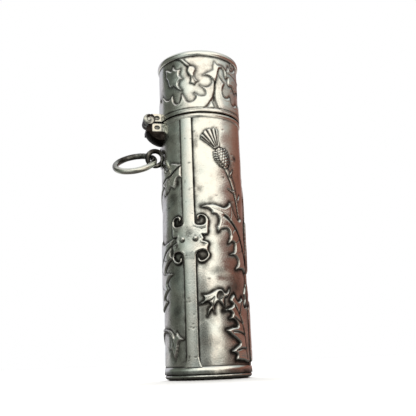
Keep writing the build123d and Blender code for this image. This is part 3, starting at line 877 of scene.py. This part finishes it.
def lidRepeat(field, shift):
    def put(points):
        return [(x + shift, z, *rest) for x, z, *rest in onSheet(points)]
    raiseShape(field, put(scallopField), 0.17)
    raiseShape(field, put(sheathField), 0.15)
    cutGroove(field, put([(3.95, 60.3), (3.7, 59.0), (3.35, 57.6), (3.2, 56.0), (2.95, 54.8), (2.9, 53.8)]),
              0.17, 0.10, 0.9)
    raiseShape(field, put([(2.35, 53.7, tip), (1.9, 52.9), (1.1, 51.9, tip), (3.1, 51.8, tip),
                           (2.8, 52.8)]), 0.10,
               shade=0.6)
    raiseShape(field, put(wingLeaf), 0.20, puff=0.14)
    raiseShape(field, put(farLeaf), 0.18)
    cutGroove(field, put([(7.0, 60.6), (8.6, 60.2), (10.4, 59.6)]), 0.15, 0.05, 0.4)
    raiseShape(field, put(hornLeaf), 0.22)
    layRidge(field, put([(-5.6, 63.85), (-4.4, 63.6), (-3.6, 63.2), (-2.9, 62.45), (-2.2, 61.7),
                         (-1.8, 61.2)]),
             0.24, 0.20, 0.85, -0.2)
    layRidge(field, put([(8.2, 62.6), (8.1, 63.4), (8.8, 63.9), (9.6, 63.5)]), 0.20, 0.14, 0.6)
    raiseShape(field, put(budTuft), 0.22, 0.25, 0.04, halo=0.24)
    for groove in ([(-1.45, 58.9), (-1.55, 57.7)], [(-1.25, 58.9), (-0.8, 57.7)]):
        cutGroove(field, put(groove), 0.09, 0.05, 0.55, 0.3)
    raiseShape(field, put(bud), 0.30, 0.7, 0.04)


def lidPattern(field):
    softDents(field, lidStamp["waves"])
    field["height"] += lidStamp["fuller"]
    knocks(field, lidStamp["knocks"], lidLow.z, lidHigh.z, -halfRound, halfRound)
    for shift in (0, halfRound, -halfRound):
        lidRepeat(field, shift)
    bandTop, beadFoot = nodeBox("lid_mouth_band")[1].z, nodeBox("lid_top_bead")[0].z
    # painted shade with tarnish where the sheet meets the band and the bead
    for level, width, shade in ((bandTop, 0.18, 0.6), (beadFoot, 0.34, 0.7)):
        addSootAndShade(field, shade * bell(field["z"] - level, width))


lidSheet = gridSheet(-halfRound, halfRound, lidLow.z, lidHigh.z, lidStamp["pitch"], sides["wall"])
rollOn("lidSheet", lidSheet, lidPattern, "lid", stampedSilver, "lid_sheet", "lid_shell")
print("lid sheet stamped")


# Foot, bands, bead, dome and lining

def turnedPiece(name, points, body, material, slotName, node, soften=0.04, sootAndShade=None):
    return finishPiece(name, spunProfile(points, soften=soften), body, material, slotName, node, sootAndShade=sootAndShade)


footShape = {"flat": 5.0, "thick": 0.45}
domeShape = {"rim": 0.3, "thick": 0.4, "steps": 12}
beadShape = {"proud": 0.08, "round": 0.28, "squash": 0.98, "step": 16}
lining = {"wall": 0.3, "bevel": 0.15, "play": 0.15}


def footProfile():
    rise = nodeBox("base_disc")[1].z - 0.01
    flat, thick = footShape["flat"], footShape["thick"]
    return [(0, 0), (flat, 0), (6.8, 0.02), (7.6, 0.09), (8.05, 0.23), (8.3, 0.42), (8.38, 0.60),
            (8.38, 0.74),
              (8.30, 0.90), (8.22, 0.98), (8.22, rise),
            (tubeRadius - 0.5, rise), (7.4, 0.78), (6.4, 0.55), (flat, thick), (0, thick)]


def footBandProfile():
    # upright below, then rolled in towards the sheet
    low, high = nodeBox("base_band")
    inner, outer = tubeRadius - 0.02, high.x
    return [(inner, low.z), (outer - 0.05, low.z), (outer, low.z + 0.06), (outer, low.z + 0.60),
            (outer - 0.015, low.z + 0.80), (outer - 0.05, low.z + 0.98), (outer - 0.10, low.z + 1.14),
            (outer - 0.17, low.z + 1.26), (outer - 0.20, high.z), (inner, high.z)]


def flangedProfile(node, inner, up):
    # ring over the sheet's edge, with a flat flange across the mouth
    low, high = nodeBox(node)
    face, end = (low.z, high.z) if up else (high.z, low.z)
    way = 1 if up else -1
    outer = high.x
    return [(inner, face), (outer - 0.08, face), (outer - 0.02, face + way * 0.05),
            (outer, face + way * 0.14),
            (outer, face + way * 0.45), (outer - 0.03, face + way * 0.62), (outer - 0.09, face + way * 0.78),
            (outer - 0.16, end), (tubeRadius - 0.02, end), (tubeRadius - 0.02, face + way * 0.3),
            (inner, face + way * 0.3)]


def domeProfile():
    low, high = nodeBox("lid_top_disc")
    rim = low.z + domeShape["rim"]
    rise = high.z - rim
    sphere = (tubeRadius ** 2 + rise ** 2) / (2 * rise)
    lean = asin(tubeRadius / sphere)
    points = [(0, high.z - domeShape["thick"]), (tubeRadius - 0.3, low.z), (tubeRadius, low.z),
              (tubeRadius, rim)]
    for step in range(1, domeShape["steps"] + 1):
        angle = lean * (1 - step / domeShape["steps"])
        points.append((sphere * sin(angle), high.z - sphere + sphere * cos(angle)))
    points[-1] = (0, high.z)
    return points


def beadProfile():
    low, high = nodeBox("lid_top_bead")
    middle, half = (low.z + high.z) / 2, (high.z - low.z) / 2
    outer, bulge = high.x + beadShape["proud"], beadShape["round"]
    points = [(tubeRadius - 0.02, low.z), (outer - 0.26, low.z)]
    for angle in range(-80, 81, beadShape["step"]):
        out = outer - bulge + bulge * cos(radians(angle))
        points.append((out, middle + half * beadShape["squash"] * sin(radians(angle))))
    return points + [(outer - 0.26, high.z), (tubeRadius - 0.02, high.z)]


# painted shade on the foot: darker at the very bottom and in the crease under the band
turnedPiece("foot", footProfile(), "case_body", plainSilver, "base_sheet", "base_disc", soften=0.02,
            sootAndShade=lambda x, y, z: 0.35 * bell(z, 0.25) + 0.9 * bell(z - 1.05, 0.10))
# painted shade on the band: dark in the crease at its foot, and a darker stripe low on it
turnedPiece("footBand", footBandProfile(), "case_body", bandSilver, "polished_band", "base_band", soften=0.0,
            sootAndShade=lambda x, y, z: 0.95 * bell(z - 1.05, 0.07) + 0.6 * bell(z - 1.45, 0.22))
linerLow, linerHigh = nodeBox("body_liner")
gapMiddle = (nodeBox("body_mouth_band")[1].z + nodeBox("lid_mouth_band")[0].z) / 2


def gapShadow(x, y, z):
    # painted shadow: black inside the joint between body and lid, brown just outside it
    near = bell(z - gapMiddle, 0.22)
    buried = (np.hypot(x, y) < tubeRadius + 0.14) & (np.abs(z - gapMiddle) < 0.3)
    return np.where(buried, 1.0, 0.9 * near)


turnedPiece("bodyMouthBand", flangedProfile("body_mouth_band", linerHigh.x, False), "case_body", bandSilver,
            "polished_band", "body_mouth_band", sootAndShade=gapShadow)
lidBore = linerHigh.x + lining["play"]
turnedPiece("lidMouthBand", flangedProfile("lid_mouth_band", lidBore, True), "lid", bandSilver,
            "polished_band", "lid_mouth_band", sootAndShade=gapShadow)
turnedPiece("lidBead", beadProfile(), "lid", bandSilver, "polished_band", "lid_top_bead", soften=0.02)
turnedPiece("lidDome", domeProfile(), "lid", plainSilver, "base_sheet", "lid_top_disc", soften=0.03,
            sootAndShade=lambda x, y, z: 0.8 * bell(np.hypot(x, y) - 8.0, 0.5))

# gilt lining
mouth = nodeBox("body_mouth_band")[1].z
bore = linerHigh.x - lining["wall"]
sleeve = [(bore, linerLow.z), (linerHigh.x, linerLow.z), (linerHigh.x, mouth),
          (linerHigh.x - lining["bevel"], linerHigh.z), (bore, linerHigh.z)]
turnedPiece("liner", sleeve, "case_body", giltSilver, "gilt_liner", "body_liner")
floorLow, floorHigh = nodeBox("liner_floor")
floorDisc = [(0, floorLow.z), (floorHigh.x, floorLow.z), (floorHigh.x, floorHigh.z), (0, floorHigh.z)]
turnedPiece("linerFloor", floorDisc, "case_body", giltSilver, "gilt_liner", "liner_floor")
cupLow, cupHigh = nodeBox("lid_liner")
ceiling = cupHigh.z - lining["wall"]
cup = [(lidBore, cupLow.z), (cupHigh.x, cupLow.z), (cupHigh.x, cupHigh.z), (0, cupHigh.z), (0, ceiling),
       (lidBore, ceiling)]
turnedPiece("lidLining", cup, "lid", giltSilver, "gilt_liner", "lid_liner")
print("bands, dome and lining turned")


# Hinge

hinge = {"barrel": 1.15, "room": 0.08, "centre": 1.2, "gap": 0.05, "pin": 0.45, "soften": 0.09}
lugLow, lugHigh = nodeBox("hinge_body_lug")
halfWide = lugHigh.y


def hingeShade(x, y, z):
    # painted shade on the tube side, behind the toe, in the slit, round the barrel and along the lower edge;
    # the cheeks stay clean, the faces round them darker towards the middle
    slit = bell(z - (lugHigh.z + lidLow.z - 0.3) / 2, 0.26)
    nearTube = bell(x + tubeRadius, 0.22) * 0.5
    behind = 0.85 * np.clip((-x - 10.25) / 0.2, 0, 1) * (z < lugHigh.z + 0.1)
    barrel = bell(np.hypot(x - pinAt.x, z - pinAt.z) - hinge["barrel"], 0.14)
    edge = 0.5 * bell(z - lugLow.z, 0.22)
    back = np.clip(0.75 - (np.abs(y) - 1.2) * 1.2, 0.1, 0.75)
    face = np.where(np.abs(y) > halfWide - 0.02, 0.0, back)
    return np.maximum.reduce([slit, nearTube, behind, barrel, edge, face])


def knuckleTone(x, y, z):
    # lighter in two licks low on each end, darker towards the top; the round face in streaks
    out = np.hypot(x - pinAt.x, z - pinAt.z)
    swirl = 0.5 + 0.5 * np.sin(np.arctan2(z - pinAt.z, x - pinAt.x) * 2 + out * 5 + 1.2)
    end = 0.16 + 0.46 * swirl + 0.25 * np.clip((z - pinAt.z) / hinge["barrel"], 0, 1)
    return np.where(np.abs(y) > halfWide - 0.15, end, 0.35 + 0.35 * swirl)


def pinSoot(x, y, z):
    return 0.3 + 0.4 * (np.hypot(x - pinAt.x, z - pinAt.z) > 0.3)


def cheekBlock(outline, half, soften):
    bm = bmesh.new()
    face = bm.faces.new([bm.verts.new((x, -half, z)) for x, z in outline])
    grown = bmesh.ops.extrude_face_region(bm, geom=[face])["geom"]
    far = [v for v in grown if isinstance(v, bmesh.types.BMVert)]
    bmesh.ops.translate(bm, vec=(0, 2 * half, 0), verts=far)
    bmesh.ops.recalc_face_normals(bm, faces=bm.faces)
    softenEdges(bm, soften, 30, 3)
    return bm


def drilled(piece, places, radius):
    # round hollows in both cheeks
    for x, y, z in places:
        bm = bmesh.new()
        bmesh.ops.create_uvsphere(bm, u_segments=28, v_segments=18, radius=radius)
        bmesh.ops.scale(bm, vec=(1.25, 0.8, 0.9), verts=bm.verts)
        bmesh.ops.translate(bm, vec=(x, y, z), verts=bm.verts)
        bmesh.ops.scale(bm, vec=(mm, mm, mm), verts=bm.verts)
        mesh = bpy.data.meshes.new("drill")
        bm.to_mesh(mesh)
        bm.free()
        cutter = bpy.data.objects.new("drill", mesh)
        bpy.context.scene.collection.objects.link(cutter)
        cut = piece.modifiers.new("drill", "BOOLEAN")
        cut.operation = "DIFFERENCE"
        cut.solver = "EXACT"
        cut.object = cutter
        bpy.context.view_layer.update()
        done = bpy.data.meshes.new_from_object(piece.evaluated_get(bpy.context.evaluated_depsgraph_get()))
        piece.modifiers.remove(cut)
        piece.data = done
        bpy.data.objects.remove(cutter)
    shadeSmooth(piece.data)


def subdivideFaces(piece, longest=0.22):
    # enough points on the flat cheeks for the tarnish and painted shade to be laid on them
    bm = bmesh.new()
    bm.from_mesh(piece.data)
    bmesh.ops.triangulate(bm, faces=bm.faces)
    for _ in range(4):
        long = [e for e in bm.edges if e.calc_length() > longest * mm]
        bmesh.ops.subdivide_edges(bm, edges=long, cuts=1)
        bmesh.ops.triangulate(bm, faces=[f for f in bm.faces if len(f.verts) > 3])
    bm.to_mesh(piece.data)
    bm.free()
    shadeSmooth(piece.data)


def hingeArc(start, end, steps):
    return arcPoints(pinAt.x, pinAt.z, hinge["barrel"] + hinge["room"], start, end, steps)


inWall = -(tubeRadius - 0.45)
around = hinge["barrel"] + hinge["room"]
bodyFace = lugHigh.z
lidFace, lidLugTop = nodeBox("hinge_lid_lug")[0].z, nodeBox("hinge_lid_lug")[1].z
toe = lugLow.x
lowLug = [(inWall, lugLow.z), (toe, lugLow.z), (toe, lugLow.z + 0.9)]
lowLug += hingeArc(-87, -90 + 43, 5) + [(inWall, bodyFace)]
topStart = asin((lidLugTop - pinAt.z) / around) * 180 / pi
topEnd = asin((lidFace - pinAt.z) / around) * 180 / pi
highLug = [(inWall, lidLugTop)] + hingeArc(topStart, topEnd, 9) + [(inWall, lidFace)]
lowerLug = finishPiece("hingeLowerLug", cheekBlock(lowLug, halfWide, hinge["soften"]), "case_body",
                       castSilver, "hinge_silver", "hinge_body_lug")
upperLug = finishPiece("hingeUpperLug", cheekBlock(highLug, halfWide, hinge["soften"]), "lid", castSilver,
                       "hinge_silver", "hinge_lid_lug")
dimples = {"x": -(tubeRadius + 1.05), "low": bodyFace - 0.95, "high": (lidFace + lidLugTop) / 2,
           "radius": 0.5}
for lug, level in ((lowerLug, dimples["low"]), (upperLug, dimples["high"])):
    drilled(lug, [(dimples["x"], side * (halfWide + 0.08), level) for side in (-1, 1)], dimples["radius"])
    subdivideFaces(lug)

    def dimpledShade(x, y, z, level=level):
        # inside the dimples a flat tone, round them the hinge's painted shade
        out = np.hypot((x - dimples["x"]) / 1.25, z - level)
        well = np.where(np.abs(y) < halfWide - 0.01, 0.42, 0.65)
        return np.where(out < dimples["radius"] * 0.95, well, hingeShade(x, y, z))
    layTarnishAndShade(lug.data, dimpledShade)


def barrelPiece(name, spans, radius, soften, body, material, slotName, node, segments=64, sootAndShade=None):
    bm = bmesh.new()
    for start, end in spans:
        made = bmesh.ops.create_cone(bm, cap_ends=True, segments=segments, radius1=radius, radius2=radius,
                                     depth=end - start)["verts"]
        bmesh.ops.rotate(bm, cent=(0, 0, 0), matrix=Matrix.Rotation(radians(90), 3, "X"), verts=made)
        bmesh.ops.translate(bm, vec=(pinAt.x, (start + end) / 2, pinAt.z), verts=made)
    ends = [f for f in bm.faces if len(f.verts) > 4]
    bmesh.ops.inset_individual(bm, faces=ends, thickness=radius * 0.35)
    bmesh.ops.inset_individual(bm, faces=ends, thickness=radius * 0.3)
    softenEdges(bm, soften, 40, 3)
    return finishPiece(name, bm, body, material, slotName, node, sootAndShade=sootAndShade)


inner = hinge["centre"] / 2 + hinge["gap"]
barrelPiece("hingeOuterKnuckles", [(-halfWide, -inner), (inner, halfWide)], hinge["barrel"], 0.12,
            "case_body", castSilver, "hinge_silver", "hinge_body_knuckles", sootAndShade=knuckleTone)
barrelPiece("hingeMiddleKnuckle", [(-hinge["centre"] / 2, hinge["centre"] / 2)], hinge["barrel"], 0.08, "lid",
            castSilver, "hinge_silver", "hinge_lid_knuckle", sootAndShade=knuckleTone)
barrelPiece("hingePin", [(-halfWide - 0.06, halfWide + 0.06)], hinge["pin"], 0.1, "case_body", bandSilver,
            "pin_wire", "hinge_pin", 40, sootAndShade=pinSoot)


bracket = {"power": 1.5, "soften": 0.07}     # power: 2 makes it a ball, 1 a cone


def bracketMesh():
    low, high = nodeBox("hinge_bracket")
    reach, drop = -tubeRadius - low.x, high.z - low.z
    bm = bmesh.new()
    bmesh.ops.create_uvsphere(bm, u_segments=64, v_segments=40, radius=1)
    power = bracket["power"]
    for vert in bm.verts:
        spread = (np.hypot(vert.co.x, vert.co.y) ** power + abs(vert.co.z) ** power) ** (1 / power)
        vert.co /= spread
    bmesh.ops.scale(bm, vec=(reach, reach, drop), verts=bm.verts)
    bmesh.ops.translate(bm, vec=(-tubeRadius, 0, high.z), verts=bm.verts)
    cuts = [((0, 0, high.z), (0, 0, 1)), ((0, high.y, 0), (0, 1, 0)), ((0, low.y, 0), (0, -1, 0)),
            ((inWall, 0, 0), (1, 0, 0))]
    for point, normal in cuts:
        bmesh.ops.bisect_plane(bm, geom=bm.verts[:] + bm.edges[:] + bm.faces[:], plane_co=point,
                               plane_no=normal, clear_outer=True)
        edges = [e for e in bm.edges if e.is_boundary]
        bmesh.ops.edgeloop_fill(bm, edges=edges)
    bmesh.ops.recalc_face_normals(bm, faces=bm.faces)
    softenEdges(bm, bracket["soften"], 30, 3)
    return bm


# painted shade: the bracket under the hinge is made nearly black, a little lighter just along its top
finishPiece("hingeBracket", bracketMesh(), "case_body", castSilver, "hinge_silver", "hinge_bracket",
            sootAndShade=lambda x, y, z: 1.0 - 0.25 * bell(z - lugLow.z, 0.12))
print("hinge built")


# Eye and ring

ring = {"radius": 4.05, "wire": 0.575, "slack": 0.35, "droop": 16.0, "roll": 37.0}
eye = {"radius": 1.61, "wire": 0.50}


def wireHoop(radius, wire, steps=128, sides=32):
    bm = bmesh.new()
    made = bmesh.ops.create_circle(bm, segments=sides, radius=wire)["verts"]
    bmesh.ops.rotate(bm, cent=(0, 0, 0), matrix=Matrix.Rotation(radians(90), 3, "X"), verts=made)
    bmesh.ops.translate(bm, vec=(radius, 0, 0), verts=made)
    bmesh.ops.spin(bm, geom=bm.verts[:] + bm.edges[:], cent=(0, 0, 0), axis=(0, 0, 1), angle=2 * pi,
                   steps=steps, use_merge=True)
    bmesh.ops.remove_doubles(bm, verts=bm.verts, dist=weldDistance)
    bmesh.ops.recalc_face_normals(bm, faces=bm.faces)
    return bm


def suspensionRing():
    bm = wireHoop(ring["radius"], ring["wire"])
    droop, roll = radians(ring["droop"]), radians(-ring["roll"])
    out = Vector((-cos(droop), 0, -sin(droop)))
    side = Vector((sin(roll) * sin(droop), cos(roll), -sin(roll) * cos(droop)))
    centre = eyeAt + out * (ring["radius"] + ring["slack"])
    for vert in bm.verts:   # hand-drawn wire, uneven from hammering and wear
        angle = atan2(vert.co.y, vert.co.x)
        core = Vector((cos(angle), sin(angle), 0)) * ring["radius"]
        thin = 1.06 - 0.015 * sin(angle * 5 + 1) - 0.010 * sin(angle * 11)
        joint = 1.0 - 0.05 * bell(angle - 2.2, 0.03)
        vert.co = core + (vert.co - core) * thin * joint
    frameTurn = Matrix((out, side, out.cross(side))).transposed()
    bmesh.ops.rotate(bm, cent=(0, 0, 0), matrix=frameTurn, verts=bm.verts)
    bmesh.ops.translate(bm, vec=centre, verts=bm.verts)
    inEye = eyeAt + out * ring["slack"]

    def ringTone(x, y, z):
        # darker towards the ring's rear face, and darkest close to the eye
        towards = np.sqrt((x - inEye.x) ** 2 + (y - inEye.y) ** 2 + (z - inEye.z) ** 2)
        flat = (x - centre.x) * side.x + (y - centre.y) * side.y + (z - centre.z) * side.z
        rear = np.clip(0.30 + flat / ring["radius"] * 0.45, 0.0, 0.75)
        return np.maximum(rear, 0.9 * bell(towards, 1.3))
    return finishPiece("suspensionRing", bm, "ring", wireSilver, "ring_silver", "suspension_ring",
                       sootAndShade=ringTone)


def ringEye():
    bm = wireHoop(eye["radius"], eye["wire"], 96, 28)
    bmesh.ops.rotate(bm, cent=(0, 0, 0), matrix=Matrix.Rotation(radians(90), 3, "X"), verts=bm.verts)
    bmesh.ops.translate(bm, vec=eyeAt, verts=bm.verts)
    bmesh.ops.bisect_plane(bm, geom=bm.verts[:] + bm.edges[:] + bm.faces[:], plane_co=(inWall, 0, 0),
                           plane_no=(1, 0, 0), clear_outer=True)
    bmesh.ops.holes_fill(bm, edges=[e for e in bm.edges if e.is_boundary])

    def eyeSoot(x, y, z):
        streak = 0.5 + 0.5 * np.sin(np.arctan2(z - eyeAt.z, x - eyeAt.x) * 3 + y * 6)
        return 0.55 + 0.4 * streak
    return finishPiece("ringEye", bm, "case_body", wireSilver, "ring_silver", "ring_eye", sootAndShade=eyeSoot)


eyeLeaf = {"lift": 0.26, "edge": 0.3, "pitch": 0.09}


def eyePlate(field):
    low, high = nodeBox("ring_eye_plate")
    half, tall = high.y, (high.z - low.z) / 2
    z0 = (low.z + high.z) / 2
    field["height"] += belowSheet
    leaf = [(0, z0 + tall, tip), (half * 0.75, z0 + tall * 0.45), (half, z0 - tall * 0.05),
            (half * 0.7, z0 - tall * 0.6), (0, z0 - tall, tip), (-half * 0.7, z0 - tall * 0.6),
            (-half, z0 - tall * 0.05), (-half * 0.75, z0 + tall * 0.45)]
    near, away, inside, _ = measure(field, smoothLine(leaf, True), 1.0)
    t = np.clip(away / eyeLeaf["edge"], 0, 1)
    field["height"][near] = np.where(inside, eyeLeaf["lift"] * rounded(t), belowSheet)
    field["tarnish"][near] = np.where(inside, 0.4 * bell(away, 0.15), 1.0)
    for side in (-1, 1):
        cutGroove(field, [(side * 0.35, z0 + tall * 0.8), (side * 0.55, z0),
                          (side * 0.35, z0 - tall * 0.8)], 0.12,
                  0.10, 0.9)
        cutGroove(field, [(side * 0.75, z0 + tall * 0.5), (side * 1.0, z0), (side * 0.75, z0 - tall * 0.5)],
                  0.10, 0.08, 0.8)


hingeSide = tubeRadius * (-pi / 2 - frontAngle)
backPlate = gridSheet(hingeSide - 1.8, hingeSide + 1.8, eyeAt.z - 2.9, eyeAt.z + 2.9, eyeLeaf["pitch"], 0)
rollOn("eyePlate", backPlate, shifted(eyePlate, hingeSide), "case_body", castSilver, "hinge_silver",
       "ring_eye_plate", under=-0.12)
ringEye()
suspensionRing()
print("eye and ring hung")


# Floor, light and camera

studio = {
    "cameraAt": (-24.55, -122.34, 2.94), "heading": 11.861, "pitch": 14.015, "roll": -2.245, "lens": 53.84,
    "floorSize": 3.0,
}
cameraSide = -11.35    # camera's bearing from the case, degrees from -Y towards +X


def paleFloor():
    bm = bmesh.new()
    bmesh.ops.create_grid(bm, x_segments=8, y_segments=8, size=studio["floorSize"])
    mesh = bpy.data.meshes.new("paleFloor")
    bm.to_mesh(mesh)
    bm.free()
    material, tree, shader = newMaterial("paperWithPaintedReflection")
    coordinates = addNode(tree, "ShaderNodeTexCoord").outputs["Object"]
    grain = noiseTexture(tree, coordinates, 60.0, 3.0, 0.5).outputs["Fac"]
    colour = colourRamp(tree, grain, [(0.3, (0.90, 0.90, 0.90)), (0.7, (0.93, 0.93, 0.93))])
    seen = addNode(tree, "ShaderNodeLightPath").outputs["Is Camera Ray"]
    paperAndPaintedReflection = addNode(tree, "ShaderNodeMix", data_type="RGBA")
    # painted reflection, what the silver sees of it: dark close by as painted shade for the undersides, then
    # light and dark bands all round
    split = addNode(tree, "ShaderNodeSeparateXYZ")
    tree.links.new(coordinates, split.inputs["Vector"])
    bearing = mathNode(tree, "ARCTAN2", split.outputs["X"],
                       mathNode(tree, "MULTIPLY", split.outputs["Y"], -1.0))
    around = mathNode(tree, "ADD", mathNode(tree, "DIVIDE", bearing, 2 * pi), 0.5)
    paintedReflectionSweep = [(-180, (0.16, 0.16, 0.16)), (-150, (0.50, 0.51, 0.50)), (-112, (0.10, 0.11, 0.10)),
             (-76, (0.09, 0.10, 0.09)), (-44, (0.46, 0.48, 0.45)), (-14, (0.11, 0.11, 0.10)),
             (30, (0.60, 0.57, 0.51)), (62, (0.17, 0.12, 0.10)), (104, (0.11, 0.07, 0.06)),
             (140, (0.48, 0.46, 0.43)), (180, (0.16, 0.16, 0.16))]
    reflected = colourRamp(tree, around, [(0.5 + angle / 360, tone) for angle, tone in paintedReflectionSweep])
    distance = addNode(tree, "ShaderNodeVectorMath", operation="LENGTH")
    tree.links.new(coordinates, distance.inputs[0])
    away = mathNode(tree, "DIVIDE", mathNode(tree, "SUBTRACT", distance.outputs["Value"], 0.055), 0.06,
                    clamp=True)
    paintedUndersideShade = addNode(tree, "ShaderNodeMix", data_type="RGBA")
    paintedUndersideShade.inputs[6].default_value = (0.09, 0.085, 0.08, 1)
    tree.links.new(away, paintedUndersideShade.inputs["Factor"])
    tree.links.new(reflected.outputs["Color"], paintedUndersideShade.inputs[7])
    tree.links.new(paintedUndersideShade.outputs[2], paperAndPaintedReflection.inputs[6])
    tree.links.new(seen, paperAndPaintedReflection.inputs["Factor"])
    tree.links.new(colour.outputs["Color"], paperAndPaintedReflection.inputs[7])
    tree.links.new(paperAndPaintedReflection.outputs[2], shader.inputs["Base Color"])
    shader.inputs["Roughness"].default_value = 1.0
    shader.inputs["Specular IOR Level"].default_value = 0.0
    mesh.materials.append(material)
    floor = bpy.data.objects.new("paleFloor", mesh)
    bpy.context.scene.collection.objects.link(floor)


def studioWorld():
    # soft cards all round: bearings are from the camera's side, positive to its right
    world = bpy.data.worlds.new("softStudio")
    bpy.context.scene.world = world
    world.use_nodes = True
    tree = world.node_tree
    tree.nodes.clear()
    ray = addNode(tree, "ShaderNodeTexCoord").outputs["Generated"]
    turn = addNode(tree, "ShaderNodeVectorRotate", rotation_type="Z_AXIS")
    turn.inputs["Angle"].default_value = radians(-cameraSide)
    tree.links.new(ray, turn.inputs["Vector"])
    split = addNode(tree, "ShaderNodeSeparateXYZ")
    tree.links.new(turn.outputs["Vector"], split.inputs["Vector"])
    back = mathNode(tree, "MULTIPLY", split.outputs["Y"], -1.0)
    bearing = mathNode(tree, "ARCTAN2", split.outputs["X"], back)
    around = mathNode(tree, "ADD", mathNode(tree, "DIVIDE", bearing, 2 * pi), 0.5)

    def band(stops):
        ramp = colourRamp(tree, around, [(0.5 + angle / 360, colour) for angle, colour in stops])
        return ramp.outputs["Color"]
    white = (1.0, 1.0, 1.0)
    violet = (0.57, 0.56, 0.61)
    green = (0.140, 0.152, 0.130)
    pale = (0.78, 0.82, 0.76)
    cream = (1.22, 1.16, 1.05)
    brown = (0.215, 0.092, 0.066)
    deepGreen = (0.080, 0.088, 0.074)
    left = [(-180, white), (-166, (0.62, 0.61, 0.66)), (-150, violet), (-130, violet), (-118, green),
            (-76, green), (-60, (0.34, 0.38, 0.34)), (-44, pale)]
    right = [(156, (0.36, 0.22, 0.20)), (170, (0.8, 0.78, 0.78)), (180, white)]
    # from the floor up: how far up each ring sits (0 level, 1 straight up), and what it holds to the right
    rings = [
        (0.02, left[:4] + [(-118, deepGreen), (-76, deepGreen), (-56, (0.13, 0.14, 0.13)),
                           (-40, (0.28, 0.30, 0.28)), (-24, (0.10, 0.11, 0.105)),
                           (8, (0.10, 0.11, 0.10)), (15, cream), (40, cream), (48, (0.10, 0.07, 0.06)),
                           (66, (0.24, 0.11, 0.085)), (80, (0.34, 0.145, 0.105))] + right),
        (0.09, left[:6] + [(-56, (0.22, 0.24, 0.22)), (-40, (0.5, 0.52, 0.5)), (-24, (0.16, 0.17, 0.165)),
                           (4, (0.16, 0.17, 0.16)), (13, cream), (35, cream), (44, (0.12, 0.068, 0.056)),
                           (76, (0.092, 0.038, 0.030)), (96, (0.15, 0.062, 0.046)),
                           (140, (0.15, 0.062, 0.046))] + right),
        (0.15, left + [(-24, (0.55, 0.58, 0.55)), (0, (0.40, 0.42, 0.40)), (9, cream), (29, cream),
                       (40, (0.34, 0.24, 0.21)), (48, (0.14, 0.062, 0.048)), (90, brown)] + right),
        (0.19, left + [(-24, (0.8, 0.8, 0.76)), (0, cream), (37, cream), (49, (0.26, 0.16, 0.14)),
                       (60, (0.17, 0.08, 0.06)), (90, brown)] + right),
        (0.24, left + [(-24, cream), (46, cream), (57, (0.28, 0.19, 0.17)), (78, brown),
                       (140, brown)] + right),
        (0.31, left + [(-24, cream), (57, cream), (65, (0.40, 0.32, 0.30)), (84, (0.27, 0.18, 0.15)),
                       (104, brown), (145, brown)] + right),
        (0.37, left + [(-24, cream), (66, cream), (73, (0.60, 0.52, 0.50)), (84, (0.48, 0.46, 0.41)),
                       (98, (0.40, 0.33, 0.28)), (112, (0.31, 0.17, 0.13)), (145, brown)] + right),
        (0.46, left[:4] + [(-118, deepGreen), (-68, deepGreen), (-52, (0.24, 0.27, 0.24)), (-38, pale),
                           (-24, cream), (60, cream), (74, (0.72, 0.75, 0.72)), (96, (0.44, 0.47, 0.46)),
                       (125, (0.26, 0.27, 0.27)), (146, (0.26, 0.21, 0.21))] + right),
    ]
    cards = band(rings[0][1])
    for (lower, _), (upper, stops) in zip(rings, rings[1:]):
        climb = mathNode(tree, "DIVIDE", mathNode(tree, "SUBTRACT", split.outputs["Z"], lower), upper - lower,
                         clamp=True)
        step = addNode(tree, "ShaderNodeMix", data_type="RGBA")
        tree.links.new(climb, step.inputs["Factor"])
        tree.links.new(cards, step.inputs[6])
        tree.links.new(band(stops), step.inputs[7])
        cards = step.outputs[2]
    overhead = mathNode(tree, "MULTIPLY", mathNode(tree, "SUBTRACT", split.outputs["Z"], 0.62), 6.0,
                        clamp=True)
    sky = addNode(tree, "ShaderNodeMix", data_type="RGBA")
    sky.inputs[7].default_value = (0.75, 0.75, 0.74, 1)
    tree.links.new(overhead, sky.inputs["Factor"])
    tree.links.new(cards, sky.inputs[6])
    seen = addNode(tree, "ShaderNodeLightPath").outputs["Is Camera Ray"]
    backdrop = addNode(tree, "ShaderNodeMix", data_type="RGBA")
    backdrop.inputs[7].default_value = (1, 1, 1, 1)
    tree.links.new(seen, backdrop.inputs["Factor"])
    tree.links.new(sky.outputs[2], backdrop.inputs[6])
    surface = addNode(tree, "ShaderNodeBackground", Strength=1.0)
    tree.links.new(backdrop.outputs[2], surface.inputs["Color"])
    out = addNode(tree, "ShaderNodeOutputWorld")
    tree.links.new(surface.outputs["Background"], out.inputs["Surface"])


def overheadLight():
    # lights the floor only; the silver takes its light from the cards
    data = bpy.data.lights.new("overhead", "SUN")
    data.energy = 3.6
    data.angle = radians(70)
    lamp = bpy.data.objects.new("overhead", data)
    lamp.rotation_euler = (radians(-45), radians(10), 0)   # from behind, so the shadow comes forward
    lamp.visible_glossy = False
    bpy.context.scene.collection.objects.link(lamp)


def setCamera():
    heading, pitch, roll = radians(studio["heading"]), radians(studio["pitch"]), radians(studio["roll"])
    ahead = Vector((sin(heading) * cos(pitch), cos(heading) * cos(pitch), sin(pitch)))
    level = Vector((cos(heading), -sin(heading), 0))
    rise = level.cross(ahead)
    right = level * cos(roll) + rise * sin(roll)
    up = rise * cos(roll) - level * sin(roll)
    turn = Matrix((right, up, -ahead)).transposed().to_4x4()
    data = bpy.data.cameras.new("camera")
    data.lens = studio["lens"]
    data.sensor_width = 36
    data.clip_start = 0.005
    camera = bpy.data.objects.new("camera", data)
    camera.matrix_world = Matrix.Translation(Vector(studio["cameraAt"]) * mm) @ turn
    bpy.context.scene.collection.objects.link(camera)
    bpy.context.scene.camera = camera


paleFloor()
studioWorld()
overheadLight()
setCamera()
bpy.context.scene.view_settings.view_transform = "Standard"
print("studio set")
